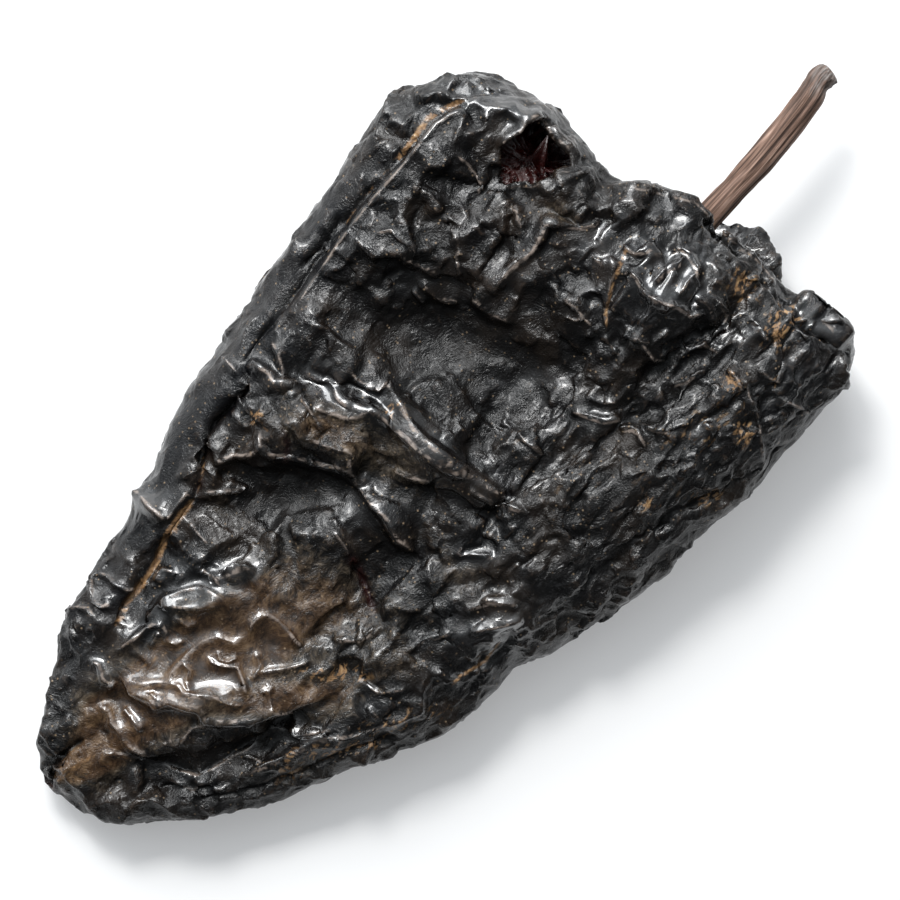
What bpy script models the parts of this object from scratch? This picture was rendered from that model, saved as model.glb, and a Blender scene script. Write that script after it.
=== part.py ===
"""Dried ancho chili, lying flat: hollow wrinkled pod, woody calyx in the crown recess, and stem.

Frame: metres, +Z up, +X from the tip to the stem, origin under the middle of the bounding box.
The plan view is laid out on a drafting grid (column to the right, row downward, one grid unit
is UNIT metres), in which the chili lies diagonally; turned() and metres() bring it to X, Y.
"""
import bpy
import bmesh
import math
import numpy as np

# ---------------------------------------------------------------- driving dimensions
UNIT = 0.000145            # metres per drafting-grid unit
AXIS_DEG = 49.0            # direction of the chili's long axis on the grid
ORIGIN_X = 638.21          # grid position (turned) of the part's origin
ORIGIN_Y = -34.85

WALL = 0.00100             # thickness of the dried fruit wall
GAP = 0.0003               # clearance between separate pieces
RIM_U = 0.0070             # rounding radius at the crown end
RIM_TIP = 0.0075           # rounding radius at the tip

ROWS = 38                  # stations from tip to crown
COLS = 24                  # columns from left side to right side
RECESS_ROWS = 5

STEM_Y = -85.0             # turned grid position of the stem's axis
STEM_Z = 0.0118            # height of the stem's axis above the ground at its root
RECESS_DEPTH = 0.0120      # how deep the crown recess goes beside the stem
RECESS_HALF = 0.0062       # half its height there
RECESS_WIDTH = 0.0130      # its half width

# plan outline, drafting-grid units
LEFT = [(34, 771), (40, 724), (54, 645), (66, 606), (79, 583), (100, 551), (118, 524), (132, 506),
        (140, 482), (153, 462), (160, 430), (170, 409), (191, 376), (214, 348), (231, 316),
        (249, 299), (257, 280), (292, 232), (330, 179), (351, 146), (375, 112), (388, 96), (404, 90)]
RIGHT = [(121, 812), (150, 821), (181, 820), (235, 815), (271, 806), (304, 794), (340, 775),
         (374, 766), (426, 746), (458, 730), (484, 708), (512, 679), (536, 662), (566, 649),
         (598, 625), (634, 602), (662, 581), (694, 551), (711, 532), (748, 500), (780, 464),
         (808, 434), (825, 414), (846, 390), (851, 372), (858, 350)]
TIP = [(34, 771), (44, 795), (66, 807), (96, 819), (121, 812)]
CROWN_TOP = [(404, 90), (432, 82), (469, 71), (504, 81), (536, 99), (566, 126), (591, 149),
             (604, 166), (614, 182), (651, 185), (679, 195), (703, 203), (720, 226), (745, 250),
             (765, 268), (785, 290), (801, 297), (829, 314), (846, 331), (858, 350)]
CROWN_BOTTOM = [(404, 90), (432, 84), (469, 76), (500, 86), (530, 104), (560, 132), (585, 156),
                (600, 175), (614, 190), (645, 195), (672, 202), (700, 206), (730, 216),
                (749, 221), (770, 221), (778, 232), (784, 260), (788, 281), (801, 299),
                (828, 316), (845, 333), (858, 350)]
# torn hole in the upper wall
HOLE = [(500, 152), (508, 146), (520, 139), (526, 131), (534, 127), (541, 129), (547, 140),
        (556, 150), (568, 160), (567, 172), (553, 174), (546, 181), (531, 187), (515, 185),
        (504, 188), (499, 172)]

# thickness of the lying pod along its length (0 tip, 1 crown), metres
THICK_AT = [0.0, 0.08, 0.2, 0.35, 0.5, 0.65, 0.8, 0.9, 1.0]
THICK = [0.0080, 0.0100, 0.0130, 0.0155, 0.0175, 0.0197, 0.0220, 0.0226, 0.0214]

# swellings and hollows of the upper wall:
# grid column, row, half length and half width (grid units), direction (deg), height (m)
HUMPS = [
    (455, 345, 120, 62, -25, -0.0042),   # big central hollow
    (520, 400, 60, 40, 35, -0.0018),
    (285, 492, 70, 34, 12, -0.0032),     # second hollow under a fold
    (300, 420, 60, 28, -20, 0.0018),     # folds above it
    (420, 440, 70, 16, -40, 0.0016),     # sharp central ridge
    (205, 650, 85, 50, 35, 0.0020),      # glossy bulge of the lower body
    (200, 762, 100, 14, 12, -0.0016),    # long fold line of the lower edge
    (480, 178, 48, 34, 20, -0.0022),     # dip of the left shoulder
    (400, 240, 90, 40, 50, 0.0010),
    (650, 285, 60, 42, 35, 0.0022),      # front shoulder
    (690, 470, 110, 40, 42, 0.0010),     # right flank
    (560, 560, 110, 40, 35, 0.0008),
    (700, 350, 70, 14, 48, -0.0012),     # valleys of the right shoulder
    (640, 400, 60, 14, 48, -0.0010),
    (240, 440, 60, 13, 62, -0.0018),     # crease beside the left edge fold
    (330, 250, 110, 12, 57, -0.0012),
    (160, 560, 60, 12, 62, -0.0010),
]


# ---------------------------------------------------------------- plan geometry
CA, SA = math.cos(math.radians(AXIS_DEG)), math.sin(math.radians(AXIS_DEG))


def turned(points):
    """Drafting-grid points turned so that the first coordinate runs from tip to stem."""
    p = np.asarray(points, float)
    c, r = p[..., 0], 900.0 - p[..., 1]
    return np.stack([c * CA + r * SA, -c * SA + r * CA], -1)


def by_length(points):
    """The polyline with its fraction of length from one end."""
    p = turned(points)
    s = np.concatenate([[0], np.cumsum(np.linalg.norm(np.diff(p, axis=0), axis=1))])
    return s / s[-1], p


def by_y(points):
    """The polyline with its fraction from left to right across the chili."""
    p = turned(points)
    return (p[0, 1] - p[:, 1]) / (p[0, 1] - p[-1, 1]), p


def read(curve, f):
    s, p = curve
    return np.stack([np.interp(f, s, p[:, 0]), np.interp(f, s, p[:, 1])], -1)


L_CURVE, R_CURVE = by_length(LEFT), by_length(RIGHT)
T_CURVE, KT_CURVE, KB_CURVE = by_y(TIP), by_y(CROWN_TOP), by_y(CROWN_BOTTOM)


def patch(u, v, crown):
    """Point of the plan at u from tip (0) to crown (1) and v from left (0) to right (1)."""
    u, v = u[..., None], v[..., None]
    left, right = read(L_CURVE, u[..., 0]), read(R_CURVE, u[..., 0])
    tip, top = read(T_CURVE, v[..., 0]), read(crown, v[..., 0])
    c00, c01 = read(T_CURVE, np.array(0.0)), read(T_CURVE, np.array(1.0))
    c10, c11 = read(crown, np.array(0.0)), read(crown, np.array(1.0))
    return ((1 - v) * left + v * right + (1 - u) * tip + u * top
            - (1 - u) * (1 - v) * c00 - (1 - u) * v * c01 - u * (1 - v) * c10 - u * v * c11)


def metres(xy):
    return np.stack([(xy[..., 0] - ORIGIN_X) * UNIT, (xy[..., 1] - ORIGIN_Y) * UNIT], -1)


def quarter(d, r):
    """Quarter-round profile: 0 at an edge, 1 at the distance r from it and beyond."""
    q = np.clip(d / r, 0, 1)
    return np.sqrt(np.clip(1 - (1 - q) ** 2, 0, 1))


def thickness(u):
    return np.interp(u, THICK_AT, THICK)


def humps(xy):
    """Height added to the upper wall by its swellings and hollows."""
    h = np.zeros(xy.shape[:-1])
    for col, row, a, b, deg, z in HUMPS:
        c = turned((col, row))
        ang = math.radians(deg - AXIS_DEG)
        d = xy - c
        p = d[..., 0] * math.cos(ang) + d[..., 1] * math.sin(ang)
        q = -d[..., 0] * math.sin(ang) + d[..., 1] * math.cos(ang)
        h += z * np.exp(-0.5 * ((p / a) ** 2 + (q / b) ** 2) * 2.0)
    return h


def recess(y):
    """1 in line with the stem, fading to 0 along the crown (y in turned grid units)."""
    return np.exp(-(((y - STEM_Y) * UNIT) / RECESS_WIDTH) ** 2)


def heights(u, v, xy):
    """Lower and upper height of the pod wall's outside at (u, v)."""
    width = np.linalg.norm(read(L_CURVE, u) - read(R_CURVE, u), axis=-1) * UNIT
    full = thickness(u)
    side = quarter(np.minimum(v, 1 - v) * width, 0.62 * full)
    tip = quarter(u * 0.118, RIM_TIP)
    crown = quarter((1 - u) * 0.118, RIM_U)
    mid = 0.48 * full
    mouth = (0.0009 + RECESS_HALF * recess(xy[..., 1])) * side
    up = full - mid + humps(xy)
    low = mid
    z_up = mid + tip * (mouth + (up * side - mouth) * crown)
    z_low = mid - tip * (mouth + (low * side - mouth) * crown)
    z_up = np.maximum(z_up, mid)
    z_low = np.where(z_low < 0.00012, 0.0, z_low)
    return z_low, z_up, mid, mouth


# ---------------------------------------------------------------- scene clean-up, materials
for ob in list(bpy.data.objects):
    bpy.data.objects.remove(ob, do_unlink=True)


def material(name, colour, rough, coat=0.0):
    m = bpy.data.materials.new(name)
    m.use_nodes = True
    b = m.node_tree.nodes["Principled BSDF"]
    b.inputs["Base Color"].default_value = (*colour, 1)
    b.inputs["Roughness"].default_value = rough
    b.inputs["Metallic"].default_value = 0.0
    b.inputs["Coat Weight"].default_value = coat
    m.diffuse_color = (*colour, 1)
    return m


SKIN = material("dried_skin", (0.016, 0.013, 0.012), 0.34, 0.3)
CAP = material("calyx_wood", (0.130, 0.075, 0.035), 0.80)
WOOD = material("stem_wood", (0.230, 0.125, 0.070), 0.72)


def add_object(name, verts, faces, mat, smooth=35.0):
    me = bpy.data.meshes.new(name)
    me.from_pydata([tuple(map(float, p)) for p in verts], [], faces)
    bm = bmesh.new()
    bm.from_mesh(me)
    bmesh.ops.recalc_face_normals(bm, faces=bm.faces)
    if bm.calc_volume(signed=True) < 0:
        bmesh.ops.reverse_faces(bm, faces=bm.faces)
    bm.to_mesh(me)
    bm.free()
    me.materials.append(mat)
    ob = bpy.data.objects.new(name, me)
    bpy.context.scene.collection.objects.link(ob)
    me.shade_smooth()
    me.set_sharp_from_angle(angle=math.radians(smooth))
    return ob


# ---------------------------------------------------------------- pod, outside
def spaced(n, mix):
    s = np.linspace(0, 1, n + 1)
    return (1 - mix) * s + mix * 0.5 * (1 - np.cos(math.pi * s))


us, vs = spaced(ROWS, 0.72), spaced(COLS, 0.80)
U, V = np.meshgrid(us, vs, indexing="ij")
xy_up, xy_low = patch(U, V, KT_CURVE), patch(U, V, KB_CURVE)
_, z_up, _, mouth_up = heights(U, V, xy_up)
z_low, _, mid, mouth_low = heights(U, V, xy_low)

verts, faces = [], []
top = -np.ones((ROWS + 1, COLS + 1), int)
low = -np.ones_like(top)
for i in range(ROWS + 1):
    for j in range(COLS + 1):
        edge = i == 0 or j in (0, COLS)
        m = metres(xy_up[i, j])
        top[i, j] = len(verts)
        verts.append((m[0], m[1], mid[i, j] if edge else z_up[i, j]))
        if edge:
            low[i, j] = top[i, j]
        else:
            m = metres(xy_low[i, j])
            low[i, j] = len(verts)
            verts.append((m[0], m[1], z_low[i, j]))
for i in range(ROWS):
    for j in range(COLS):
        for g, flip in ((top, False), (low, True)):
            q = [g[i, j], g[i + 1, j], g[i + 1, j + 1], g[i, j + 1]]
            q = [k for n, k in enumerate(q) if k not in q[:n]]
            faces.append(q[::-1] if flip else q)

# the crown turns in and runs down into the recess that holds the calyx
ring_up, ring_low = top[ROWS].copy(), low[ROWS].copy()
mid_end = mid[ROWS]
for k in range(1, RECESS_ROWS + 1):
    f = k / RECESS_ROWS
    new_up, new_low = ring_up.copy(), ring_low.copy()
    for j in range(COLS + 1):
        r = recess(xy_up[ROWS, j, 1])
        depth = (0.0010 + RECESS_DEPTH * r) * f
        pinch = math.sqrt(max(0.0, 1 - (0.86 * f) ** 3))
        base = min(xy_up[ROWS, j, 0], xy_low[ROWS, j, 0])
        for rows, src, sign, half in ((new_up, xy_up, 1, mouth_up), (new_low, xy_low, -1, mouth_low)):
            if j in (0, COLS) and sign < 0:
                rows[j] = new_up[j]
                continue
            lean = min(1.0, 2.2 * f)
            x = src[ROWS, j, 0] * (1 - lean) + base * lean
            p = metres(np.array([x, src[ROWS, j, 1]]))
            zc = mid_end[j] + (STEM_Z - mid_end[j]) * r * f
            z = zc + (0 if j in (0, COLS) else sign * half[ROWS, j] * pinch)
            rows[j] = len(verts)
            verts.append((p[0] - depth, p[1], z))
    for j in range(COLS):
        for a, b, flip in ((ring_up, new_up, False), (ring_low, new_low, True)):
            q = [a[j], b[j], b[j + 1], a[j + 1]]
            q = [n for m, n in enumerate(q) if n not in q[:m]]
            faces.append(q[::-1] if flip else q)
    ring_up, ring_low = new_up, new_low
for j in range(COLS):
    q = [ring_up[j], ring_low[j], ring_low[j + 1], ring_up[j + 1]]
    q = [n for m, n in enumerate(q) if n not in q[:m]]
    faces.append(q)

pod = add_object("pod", verts, faces, SKIN, 60.0)

# ---------------------------------------------------------------- pod, the hollow inside
IN_ROWS, IN_COLS = 22, 14
iu, iv = spaced(IN_ROWS, 0.7), spaced(IN_COLS, 0.7)
A, B = np.meshgrid(iu, iv, indexing="ij")
V_IN = 0.020 + 0.96 * B
edge_y = patch(np.ones_like(V_IN), V_IN, KT_CURVE)[..., 1]
u_cap = 1.0 - (0.0034 + (RECESS_DEPTH + 0.0008) * recess(edge_y)) / 0.118
U_IN = 0.035 + (u_cap - 0.035) * A
xy_in = patch(U_IN, V_IN, KT_CURVE)
zi_low, zi_up, zi_mid, _ = heights(U_IN, V_IN, xy_in)
round_in = quarter(np.minimum(B, 1 - B) * 0.074, 0.0026) * quarter(np.minimum(A, 1 - A) * 0.110, 0.0034)
room_up = np.maximum(zi_up - WALL - zi_mid, 0.0004) * round_in
room_low = np.maximum(zi_mid - zi_low - WALL, 0.0004) * round_in

verts, faces = [], []
top = -np.ones((IN_ROWS + 1, IN_COLS + 1), int)
low = -np.ones_like(top)
for i in range(IN_ROWS + 1):
    for j in range(IN_COLS + 1):
        edge = i in (0, IN_ROWS) or j in (0, IN_COLS)
        m = metres(xy_in[i, j])
        top[i, j] = len(verts)
        verts.append((m[0], m[1], zi_mid[i, j] + (0 if edge else room_up[i, j])))
        if edge:
            low[i, j] = top[i, j]
        else:
            low[i, j] = len(verts)
            verts.append((m[0], m[1], zi_mid[i, j] - room_low[i, j]))
for i in range(IN_ROWS):
    for j in range(IN_COLS):
        for g, flip in ((top, False), (low, True)):
            q = [g[i, j], g[i + 1, j], g[i + 1, j + 1], g[i, j + 1]]
            faces.append(q[::-1] if flip else q)
hollow = add_object("hollow_cutter", verts, faces, SKIN)

# ---------------------------------------------------------------- torn hole through the upper wall
ring = metres(turned(HOLE))
n = len(ring)
verts = [(x, y, 0.0120) for x, y in ring] + [(x, y, 0.0400) for x, y in ring]
faces = [list(range(n)), list(range(2 * n - 1, n - 1, -1))]
faces += [[i, (i + 1) % n, n + (i + 1) % n, n + i] for i in range(n)]
tear = add_object("tear_cutter", verts, faces, SKIN)

for cutter in (hollow, tear):
    cutter.hide_render = True
    cutter.display_type = 'WIRE'
    mod = pod.modifiers.new(cutter.name, 'BOOLEAN')
    mod.operation = 'DIFFERENCE'
    mod.solver = 'EXACT'
    mod.object = cutter

# ---------------------------------------------------------------- calyx
# A thin lobed cap that stands across the recess, with a collar towards the stem.
CALYX_X = 912.0            # turned grid position of its back face
SEG = 30
cx = (CALYX_X - ORIGIN_X) * UNIT
cy = (STEM_Y - ORIGIN_Y) * UNIT
profile = [(0.0000, 0.86), (0.0004, 1.00), (0.0011, 0.97), (0.0016, 0.74), (0.0020, 0.48),
           (0.0026, 0.40)]
verts, faces = [], []
for x, k in profile:
    for s in range(SEG):
        a = 2 * math.pi * s / SEG
        lobe = 1 + 0.13 * max(0.0, math.cos(5 * a)) * (1 if k > 0.6 else 0.2)
        ry, rz = 0.0068 * k * lobe, 0.0040 * k * lobe
        cup = 0.0006 * (k ** 2)
        verts.append((cx + x + cup, cy + ry * math.cos(a), STEM_Z + rz * math.sin(a)))
rings = len(profile)
for r in range(rings - 1):
    for s in range(SEG):
        t = (s + 1) % SEG
        faces.append([r * SEG + s, r * SEG + t, (r + 1) * SEG + t, (r + 1) * SEG + s])
faces.append(list(range(SEG))[::-1])
faces.append([(rings - 1) * SEG + s for s in range(SEG)])
add_object("calyx", verts, faces, CAP)

# ---------------------------------------------------------------- stem
# centre line: turned grid x, grid y offset, height (m), radius (m)
stem_root = cx + profile[-1][0] + 0.0006 * profile[-1][1] ** 2 + GAP
root_grid = stem_root / UNIT + ORIGIN_X
LINE = [(root_grid, -85.5, 0.01180, 0.00205), (945, -86.0, 0.01190, 0.00198),
        (986, -86.8, 0.01215, 0.00200), (1020, -87.6, 0.01240, 0.00194),
        (1056, -88.6, 0.01275, 0.00207), (1090, -87.8, 0.01300, 0.00207),
        (1118, -86.2, 0.01315, 0.00204), (1134, -84.6, 0.01320, 0.00196),
        (1147, -82.4, 0.01320, 0.00186), (1157, -81.2, 0.01318, 0.00190),
        (1164, -82.0, 0.01315, 0.00152), (1168, -82.8, 0.01312, 0.00060)]
SIDES = 14
verts, faces = [], []
for x, y, z, r in LINE:
    px, py = (x - ORIGIN_X) * UNIT, (y - ORIGIN_Y) * UNIT
    for s in range(SIDES):
        a = 2 * math.pi * s / SIDES
        rr = r * (1 + 0.05 * math.cos(3 * a + 0.6))
        verts.append((px, py + rr * math.cos(a), z + rr * math.sin(a)))
rings = len(LINE)
for r in range(rings - 1):
    for s in range(SIDES):
        t = (s + 1) % SIDES
        faces.append([r * SIDES + s, r * SIDES + t, (r + 1) * SIDES + t, (r + 1) * SIDES + s])
faces.append(list(range(SIDES))[::-1])
faces.append([(rings - 1) * SIDES + s for s in range(SIDES)])
add_object("stem", verts, faces, WOOD)
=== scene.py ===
"""Looks of the dried ancho chili: crumpled glossy skin, torn hole, woody stem and calyx."""
import bpy
import math
import time
import numpy as np
from concurrent.futures import ThreadPoolExecutor
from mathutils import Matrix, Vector
from mathutils.kdtree import KDTree


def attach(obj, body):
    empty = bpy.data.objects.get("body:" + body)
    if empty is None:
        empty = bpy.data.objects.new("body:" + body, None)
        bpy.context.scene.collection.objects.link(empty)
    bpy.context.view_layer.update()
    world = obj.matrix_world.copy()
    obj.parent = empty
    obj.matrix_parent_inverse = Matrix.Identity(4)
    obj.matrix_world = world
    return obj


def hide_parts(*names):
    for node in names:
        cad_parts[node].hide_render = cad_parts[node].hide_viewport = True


T0 = time.perf_counter()
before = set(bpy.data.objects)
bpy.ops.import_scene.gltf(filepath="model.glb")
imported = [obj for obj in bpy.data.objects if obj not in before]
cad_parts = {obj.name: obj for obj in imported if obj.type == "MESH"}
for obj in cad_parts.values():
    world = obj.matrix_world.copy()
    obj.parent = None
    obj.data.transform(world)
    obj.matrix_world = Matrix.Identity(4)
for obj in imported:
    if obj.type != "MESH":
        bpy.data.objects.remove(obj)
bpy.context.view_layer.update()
POOL = ThreadPoolExecutor(4)


def clock(what):
    print(f"[{time.perf_counter() - T0:6.1f} s] {what}", flush=True)


# ================================================================ plan geometry (as the solid's)
UNIT = 0.000145
AXIS_DEG = 49.0
ORIGIN_X, ORIGIN_Y = 638.21, -34.85
CA, SA = math.cos(math.radians(AXIS_DEG)), math.sin(math.radians(AXIS_DEG))
RIM_U, RIM_TIP = 0.0070, 0.0075
STEM_Y, STEM_Z = -85.0, 0.0118
RECESS_DEPTH, RECESS_HALF, RECESS_WIDTH = 0.0120, 0.0062, 0.0130

LEFT = [(34, 771), (39, 759), (39, 744), (37, 731), (40, 724), (44, 709), (45, 694), (51, 660), (54, 645),
        (62, 617), (66, 606), (75, 590), (79, 583), (84, 580), (90, 568), (94, 565), (100, 551),
        (104, 541), (112, 538), (117, 529), (120, 519), (125, 512), (132, 509), (131, 487), (140, 482),
        (149, 471), (153, 462), (158, 447), (161, 430), (170, 409), (179, 398), (191, 376), (199, 364),
        (214, 349), (220, 334), (231, 315), (239, 312), (249, 299), (257, 280), (280, 250), (292, 232),
        (305, 213), (318, 195), (330, 179), (339, 168), (345, 157), (358, 136), (364, 125), (375, 114),
        (378, 106), (386, 97), (392, 92), (404, 90)]
RIGHT = [(121, 812), (127, 815), (133, 820), (149, 821), (181, 820), (214, 819), (235, 815), (256, 810),
         (271, 806), (284, 801), (304, 794), (323, 784), (340, 775), (355, 770), (366, 766), (374, 766),
         (387, 761), (404, 753), (426, 746), (441, 740), (458, 730), (471, 719), (484, 708), (490, 700),
         (512, 679), (522, 669), (536, 662), (551, 655), (566, 649), (576, 638), (587, 632), (609, 620),
         (624, 611), (634, 602), (649, 591), (662, 581), (675, 572), (694, 551), (711, 532), (733, 514),
         (748, 500), (759, 491), (774, 474), (780, 464), (797, 446), (808, 434), (825, 414), (836, 400),
         (846, 390), (851, 378), (850, 368), (858, 350)]
TIP = [(34, 771), (37, 784), (44, 795), (53, 798), (61, 801), (66, 807), (74, 815), (81, 818), (96, 819),
       (109, 818), (117, 815), (121, 812)]
CROWN_TOP = [(404, 90), (416, 86), (421, 89), (426, 87), (432, 82), (446, 80), (456, 73), (469, 71),
             (480, 72), (493, 75), (504, 81), (516, 86), (526, 91), (536, 99), (544, 106), (555, 116),
             (566, 126), (576, 136), (583, 142), (591, 149), (598, 155), (604, 166), (610, 176),
             (614, 182), (627, 181), (638, 183), (651, 185), (661, 190), (670, 195), (679, 195),
             (687, 197), (696, 199), (703, 204), (709, 215), (720, 228), (733, 240), (745, 250),
             (757, 261), (765, 268), (778, 282), (788, 292), (801, 297), (807, 303), (818, 305),
             (829, 314), (837, 321), (846, 331), (855, 344), (858, 350)]
CROWN_BOTTOM = [(404, 90), (432, 84), (469, 76), (500, 86), (530, 104), (560, 132), (585, 156),
                (600, 175), (614, 190), (645, 195), (672, 199), (690, 199), (700, 206), (730, 216),
                (739, 218), (749, 221), (760, 222), (770, 221), (774, 226), (778, 233), (779, 249),
                (784, 260), (787, 271), (789, 284), (801, 299), (828, 316), (845, 333), (858, 350)]
HOLE = [(500, 152), (508, 146), (520, 139), (526, 131), (534, 127), (541, 129), (547, 140),
        (556, 150), (568, 160), (569, 170), (553, 173), (547, 181), (539, 185), (531, 187), (523, 184),
        (515, 185), (505, 189), (499, 180), (501, 165)]
THICK_AT = [0.0, 0.08, 0.2, 0.35, 0.5, 0.65, 0.8, 0.9, 1.0]
THICK = [0.0080, 0.0100, 0.0130, 0.0155, 0.0175, 0.0197, 0.0220, 0.0226, 0.0214]
HUMPS = [
    (455, 345, 120, 62, -25, -0.0042), (520, 400, 60, 40, 35, -0.0018), (285, 492, 70, 34, 12, -0.0032),
    (300, 420, 60, 28, -20, 0.0018), (420, 440, 70, 16, -40, 0.0016), (205, 650, 85, 50, 35, 0.0020),
    (200, 762, 100, 14, 12, -0.0016), (480, 178, 48, 34, 20, -0.0022), (400, 240, 90, 40, 50, 0.0010),
    (650, 285, 60, 42, 35, 0.0022), (690, 470, 110, 40, 42, 0.0010), (560, 560, 110, 40, 35, 0.0008),
    (700, 350, 70, 14, 48, -0.0012), (640, 400, 60, 14, 48, -0.0010), (240, 440, 60, 13, 62, -0.0018),
    (330, 250, 110, 12, 57, -0.0012), (160, 560, 60, 12, 62, -0.0010),
    # relief the plain solid leaves out
    (455, 345, 100, 52, -25, -0.0016), (290, 500, 62, 26, 8, -0.0014), (240, 700, 70, 22, 10, 0.0014),
    (512, 188, 22, 14, 20, -0.0016), (330, 425, 60, 20, -25, 0.0009), (640, 300, 60, 40, 40, 0.0008),
    (370, 590, 60, 40, 60, -0.0010), (505, 610, 50, 22, 38, 0.0012), (560, 500, 60, 24, 40, 0.0008),
    (655, 335, 44, 20, 20, 0.0012), (215, 600, 40, 18, 20, 0.0008),
]


def turned(points):
    p = np.asarray(points, float)
    c, r = p[..., 0], 900.0 - p[..., 1]
    return np.stack([c * CA + r * SA, -c * SA + r * CA], -1)


def grid_of(xyz):
    """Drafting-grid column and row of points in metres."""
    tx, ty = xyz[..., 0] / UNIT + ORIGIN_X, xyz[..., 1] / UNIT + ORIGIN_Y
    return np.stack([tx * CA - ty * SA, 900.0 - (tx * SA + ty * CA)], -1)


def metres(xy):
    return np.stack([(xy[..., 0] - ORIGIN_X) * UNIT, (xy[..., 1] - ORIGIN_Y) * UNIT], -1)


def by_length(points):
    p = turned(points)
    s = np.concatenate([[0], np.cumsum(np.linalg.norm(np.diff(p, axis=0), axis=1))])
    return s / s[-1], p


def by_y(points):
    p = turned(points)
    return (p[0, 1] - p[:, 1]) / (p[0, 1] - p[-1, 1]), p


def read(curve, f):
    s, p = curve
    return np.stack([np.interp(f, s, p[:, 0]), np.interp(f, s, p[:, 1])], -1)


L_CURVE, R_CURVE = by_length(LEFT), by_length(RIGHT)
T_CURVE, KT_CURVE, KB_CURVE = by_y(TIP), by_y(CROWN_TOP), by_y(CROWN_BOTTOM)


def patch(u, v, crown):
    u, v = u[..., None], v[..., None]
    left, right = read(L_CURVE, u[..., 0]), read(R_CURVE, u[..., 0])
    tip, top = read(T_CURVE, v[..., 0]), read(crown, v[..., 0])
    c00, c01 = read(T_CURVE, np.array(0.0)), read(T_CURVE, np.array(1.0))
    c10, c11 = read(crown, np.array(0.0)), read(crown, np.array(1.0))
    return ((1 - v) * left + v * right + (1 - u) * tip + u * top
            - (1 - u) * (1 - v) * c00 - (1 - u) * v * c01 - u * (1 - v) * c10 - u * v * c11)


def quarter(d, r):
    q = np.clip(d / r, 0, 1)
    return np.sqrt(np.clip(1 - (1 - q) ** 2, 0, 1))


def gauss(q, col, row, a, b, deg):
    """Elongated bell on the drafting grid: half lengths a, b, direction deg."""
    ang = math.radians(-deg)
    dx, dy = q[..., 0] - col, q[..., 1] - row
    p = dx * math.cos(ang) + dy * math.sin(ang)
    s = -dx * math.sin(ang) + dy * math.cos(ang)
    return np.exp(-((p / a) ** 2 + (s / b) ** 2))


def recess(y):
    return np.exp(-(((y - STEM_Y) * UNIT) / RECESS_WIDTH) ** 2)


def heights(u, v, xy):
    width = np.linalg.norm(read(L_CURVE, u) - read(R_CURVE, u), axis=-1) * UNIT
    full = np.interp(u, THICK_AT, THICK)
    side = quarter(np.minimum(v, 1 - v) * width, 0.62 * full)
    tip = quarter(u * 0.118, RIM_TIP)
    crown = quarter((1 - u) * 0.118, RIM_U)
    mid = 0.48 * full
    mouth = (0.0009 + RECESS_HALF * recess(xy[..., 1])) * side
    q = np.stack([xy[..., 0] * CA - xy[..., 1] * SA, 900.0 - (xy[..., 0] * SA + xy[..., 1] * CA)], -1)
    bumps = sum(z * gauss(q, c, r, a, b, d) for c, r, a, b, d, z in HUMPS)
    up = full - mid + bumps
    z_up = np.maximum(mid + tip * (mouth + (up * side - mouth) * crown), mid)
    z_low = mid - tip * (mouth + (mid * side - mouth) * crown)
    return z_low, z_up, mid, mouth


def spaced(n, mix):
    s = np.linspace(0, 1, n + 1)
    return (1 - mix) * s + mix * 0.5 * (1 - np.cos(math.pi * s))


def plain_pod():
    """The pod's outside as points and quads, without the torn hole."""
    rows, cols, deep = 92, 60, 9
    U, V = np.meshgrid(spaced(rows, 0.6), spaced(cols, 0.75), indexing="ij")
    xy_up, xy_low = patch(U, V, KT_CURVE), patch(U, V, KB_CURVE)
    _, z_up, mid, mouth_up = heights(U, V, xy_up)
    z_low, _, _, mouth_low = heights(U, V, xy_low)
    verts, faces = [], []

    def quad(q, flip=False):
        q = [k for n, k in enumerate(q) if k not in q[:n]]
        faces.append(q[::-1] if flip else q)

    top = np.zeros((rows + 1, cols + 1), int)
    low = np.zeros_like(top)
    for i in range(rows + 1):
        for j in range(cols + 1):
            edge = i == 0 or j in (0, cols)
            m = metres(xy_up[i, j])
            top[i, j] = low[i, j] = len(verts)
            verts.append((m[0], m[1], mid[i, j] if edge else z_up[i, j]))
            if not edge:
                m = metres(xy_low[i, j])
                low[i, j] = len(verts)
                verts.append((m[0], m[1], z_low[i, j]))
    for i in range(rows):
        for j in range(cols):
            quad([top[i, j], top[i + 1, j], top[i + 1, j + 1], top[i, j + 1]])
            quad([low[i, j], low[i + 1, j], low[i + 1, j + 1], low[i, j + 1]], True)
    ring_up, ring_low = top[rows].copy(), low[rows].copy()
    for k in range(1, deep + 1):
        f = k / deep
        new_up, new_low = ring_up.copy(), ring_low.copy()
        for j in range(cols + 1):
            r = recess(xy_up[rows, j, 1])
            depth = (0.0010 + RECESS_DEPTH * r) * f
            pinch = math.sqrt(max(0.0, 1 - (0.86 * f) ** 3))
            base = min(xy_up[rows, j, 0], xy_low[rows, j, 0])
            for ring, src, sign, half in ((new_up, xy_up, 1, mouth_up), (new_low, xy_low, -1, mouth_low)):
                if j in (0, cols) and sign < 0:
                    ring[j] = new_up[j]
                    continue
                lean = min(1.0, 2.2 * f)
                p = metres(np.array([src[rows, j, 0] * (1 - lean) + base * lean, src[rows, j, 1]]))
                z = mid[rows, j] + (STEM_Z - mid[rows, j]) * r * f
                z += 0 if j in (0, cols) else sign * half[rows, j] * pinch
                ring[j] = len(verts)
                verts.append((p[0] - depth, p[1], z))
        for j in range(cols):
            quad([ring_up[j], new_up[j], new_up[j + 1], ring_up[j + 1]])
            quad([ring_low[j], new_low[j], new_low[j + 1], ring_low[j + 1]], True)
        ring_up, ring_low = new_up, new_low
    for j in range(cols):
        quad([ring_up[j], ring_low[j], ring_low[j + 1], ring_up[j + 1]])
    return np.array(verts, float), faces


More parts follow.
